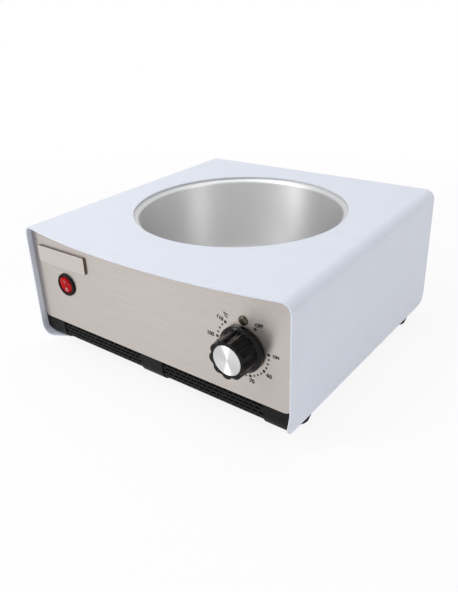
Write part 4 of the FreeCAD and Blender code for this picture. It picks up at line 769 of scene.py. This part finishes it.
work = bmesh.new()
cap = {"edge": ((0.0002, 0), (0, 0.0002), (0, 0.00075), (0.00015, 0.0009), (0.0004, 0.00093), (0.0011, 0.00088),
                (0.0017, 0.00075)),  # in from the edge, up from the seat
       "dish": ((0.008, 0.00062), (0.004, 0.00055), (0.0012, 0.00053), (0, 0.00053))}  # radius, up from the seat
seat = knob["capSeat"]
profile = [(0, seat)] + [(knob["capRadius"] - inward, seat + rise) for inward, rise in cap["edge"]]
profile += [(radius, seat + rise) for radius, rise in cap["dish"]]
lathe(work, profile, 128, lengthOfV=0.001)
finishPiece("knobCapSpun", work, knobFrame, "spun_aluminium", body="knob", replaced=["knob_cap"])
print("knob made")

# feet

foot = {"top": 0.0138, "toe": 0.012, "height": 0.008, "toeRound": 0.0015, "bore": 0.0044, "boreDepth": 0.005,
        "screwHole": 0.0023, "chamfer": 0.0004, "edge": 0.0002, "lip": 0.001, "steps": 64}
for footName in ("foot_front_left", "foot_front_right", "foot_rear_left", "foot_rear_right"):
    low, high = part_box(footName)
    work = bmesh.new()
    profile = [(foot["screwHole"], foot["height"]), (foot["screwHole"], foot["boreDepth"]),
               (foot["bore"], foot["boreDepth"]), (foot["bore"], foot["chamfer"]), (foot["bore"] + foot["chamfer"], 0)]
    profile += arcPoints(foot["toe"] - foot["toeRound"], foot["toeRound"], foot["toeRound"], -90, 0, 6)
    profile += [(foot["top"], foot["height"] - foot["lip"]), (foot["top"], foot["height"] - foot["edge"]),
                (foot["top"] - foot["edge"], foot["height"])]
    lathe(work, profile, foot["steps"])
    side = "".join(part.capitalize() for part in footName.split("_")[1:])
    finishPiece("foot" + side, work, Matrix.Translation(((low.x + high.x) / 2, (low.y + high.y) / 2, low.z)),
                "foot_rubber", replaced=[footName])
print("feet made")

# floor, light and camera

stage = {"floor": 0.93, "floorHalf": 8, "nearWhite": 0.88, "fadeStart": 0.35, "fadeEnd": 1.1, "worldLight": 0.45}
lamps = {"topLight": {"spot": (-0.3, 0.1, 1.7), "target": (0, 0, 0.1), "size": (1.5, 1.2), "power": 6.0},
         "highLight": {"spot": (-0.5, -0.95, 1.3), "target": (0.05, -0.1, 0.08), "size": (0.45, 0.5), "power": 7.0},
         "frontLight": {"spot": (-1.2, -1.6, 0.7), "target": (0, 0, 0.08), "size": (0.4, 0.9), "power": 8.5},
         "sideLight": {"spot": (1.65, -0.12, 0.8), "target": (0, 0, 0.08), "size": (0.6, 0.8), "power": 4.0}}


def seenDirectly(material):  # 1 where a camera, mirror or glass ray looks, 0 where light falls
    path = addNode(material, "ShaderNodeLightPath")
    total = path.outputs["Is Camera Ray"]
    for name in ("Is Glossy Ray", "Is Transmission Ray"):
        larger = addNode(material, "ShaderNodeMath", operation="MAXIMUM")
        wire(material, total, larger.inputs[0])
        wire(material, path.outputs[name], larger.inputs[1])
        total = larger.outputs[0]
    return total


floorMesh = bmesh.new()
bmesh.ops.create_grid(floorMesh, x_segments=1, y_segments=1, size=stage["floorHalf"])
floorData = bpy.data.meshes.new("floor")
floorMesh.to_mesh(floorData)
floorMesh.free()
floor = bpy.data.objects.new("floor", floorData)
bpy.context.scene.collection.objects.link(floor)
floorMaterial = plainMaterial("floorPaper", (stage["floor"],) * 3, 0.9, scale=3, spread=0.004, bump=0.0)
place = addNode(floorMaterial, "ShaderNodeTexCoord")
reach = addNode(floorMaterial, "ShaderNodeVectorMath", operation="LENGTH")
wire(floorMaterial, place.outputs["Object"], reach.inputs[0])
fade = ramp(floorMaterial, reach.outputs["Value"], stage["nearWhite"], 1.0, stage["fadeStart"], stage["fadeEnd"])
share = addNode(floorMaterial, "ShaderNodeMath", operation="MULTIPLY")
wire(floorMaterial, fade, share.inputs[0])
wire(floorMaterial, seenDirectly(floorMaterial), share.inputs[1])
white = addNode(floorMaterial, "ShaderNodeEmission", Strength=1.0)
blend = addNode(floorMaterial, "ShaderNodeMixShader")
wire(floorMaterial, share.outputs[0], blend.inputs["Fac"])
wire(floorMaterial, floorMaterial.node_tree.nodes["Principled BSDF"].outputs["BSDF"], blend.inputs[1])
wire(floorMaterial, white.outputs["Emission"], blend.inputs[2])
wire(floorMaterial, blend.outputs["Shader"], floorMaterial.node_tree.nodes["Material Output"].inputs["Surface"])
floorData.materials.append(floorMaterial)
floor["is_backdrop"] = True
floor.location.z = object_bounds()[0].z


def areaLight(name, spot, target, size, power):
    data = bpy.data.lights.new(name, "AREA")
    data.shape = "RECTANGLE"
    data.size, data.size_y = size
    data.energy = power
    lamp = bpy.data.objects.new(name, data)
    lamp.location = spot
    lamp.rotation_mode = "QUATERNION"
    lamp.rotation_quaternion = (Vector(target) - Vector(spot)).to_track_quat("-Z", "Y")
    bpy.context.scene.collection.objects.link(lamp)


for lampName, lampValues in lamps.items():
    areaLight(lampName, **lampValues)
world = bpy.data.worlds.new("studio")
bpy.context.scene.world = world
world.use_nodes = True
background = world.node_tree.nodes["Background"]
background.inputs["Color"].default_value = (1, 1, 1, 1)
wire(world, ramp(world, seenDirectly(world), stage["worldLight"], 1.0, 0.0, 1.0), background.inputs["Strength"])

shot = {"azimuth": 36.424, "elevation": 20.854, "roll": 0.184, "anchor": (0, 0.15, 0),
        "offset": (0.32566, -0.46881, 0.16032), "pixels": 580.24, "centre": (222.42, 259.16), "sensor": 36,
        "width": 458, "height": 592}
azimuth, elevation = math.radians(shot["azimuth"]), math.radians(shot["elevation"])
cameraData = bpy.data.cameras.new("camera")
cameraData.sensor_width = shot["sensor"]
cameraData.lens = shot["pixels"] * shot["sensor"] / shot["height"]
cameraData.shift_x = (shot["width"] / 2 - shot["centre"][0]) / shot["height"]
cameraData.shift_y = (shot["centre"][1] - shot["height"] / 2) / shot["height"]
cameraData.clip_start = 0.01
camera = bpy.data.objects.new("camera", cameraData)
bpy.context.scene.collection.objects.link(camera)
cameraSpot = Matrix.Translation(leaning @ Vector(shot["anchor"]) + Vector(shot["offset"]))
camera.matrix_world = cameraSpot @ Matrix.Rotation(azimuth, 4, "Z") @ Matrix.Rotation(
    math.radians(90) - elevation, 4, "X") @ Matrix.Rotation(math.radians(shot["roll"]), 4, "Z")
bpy.context.scene.camera = camera
bpy.context.scene.view_settings.view_transform = "Standard"
print("stage made")
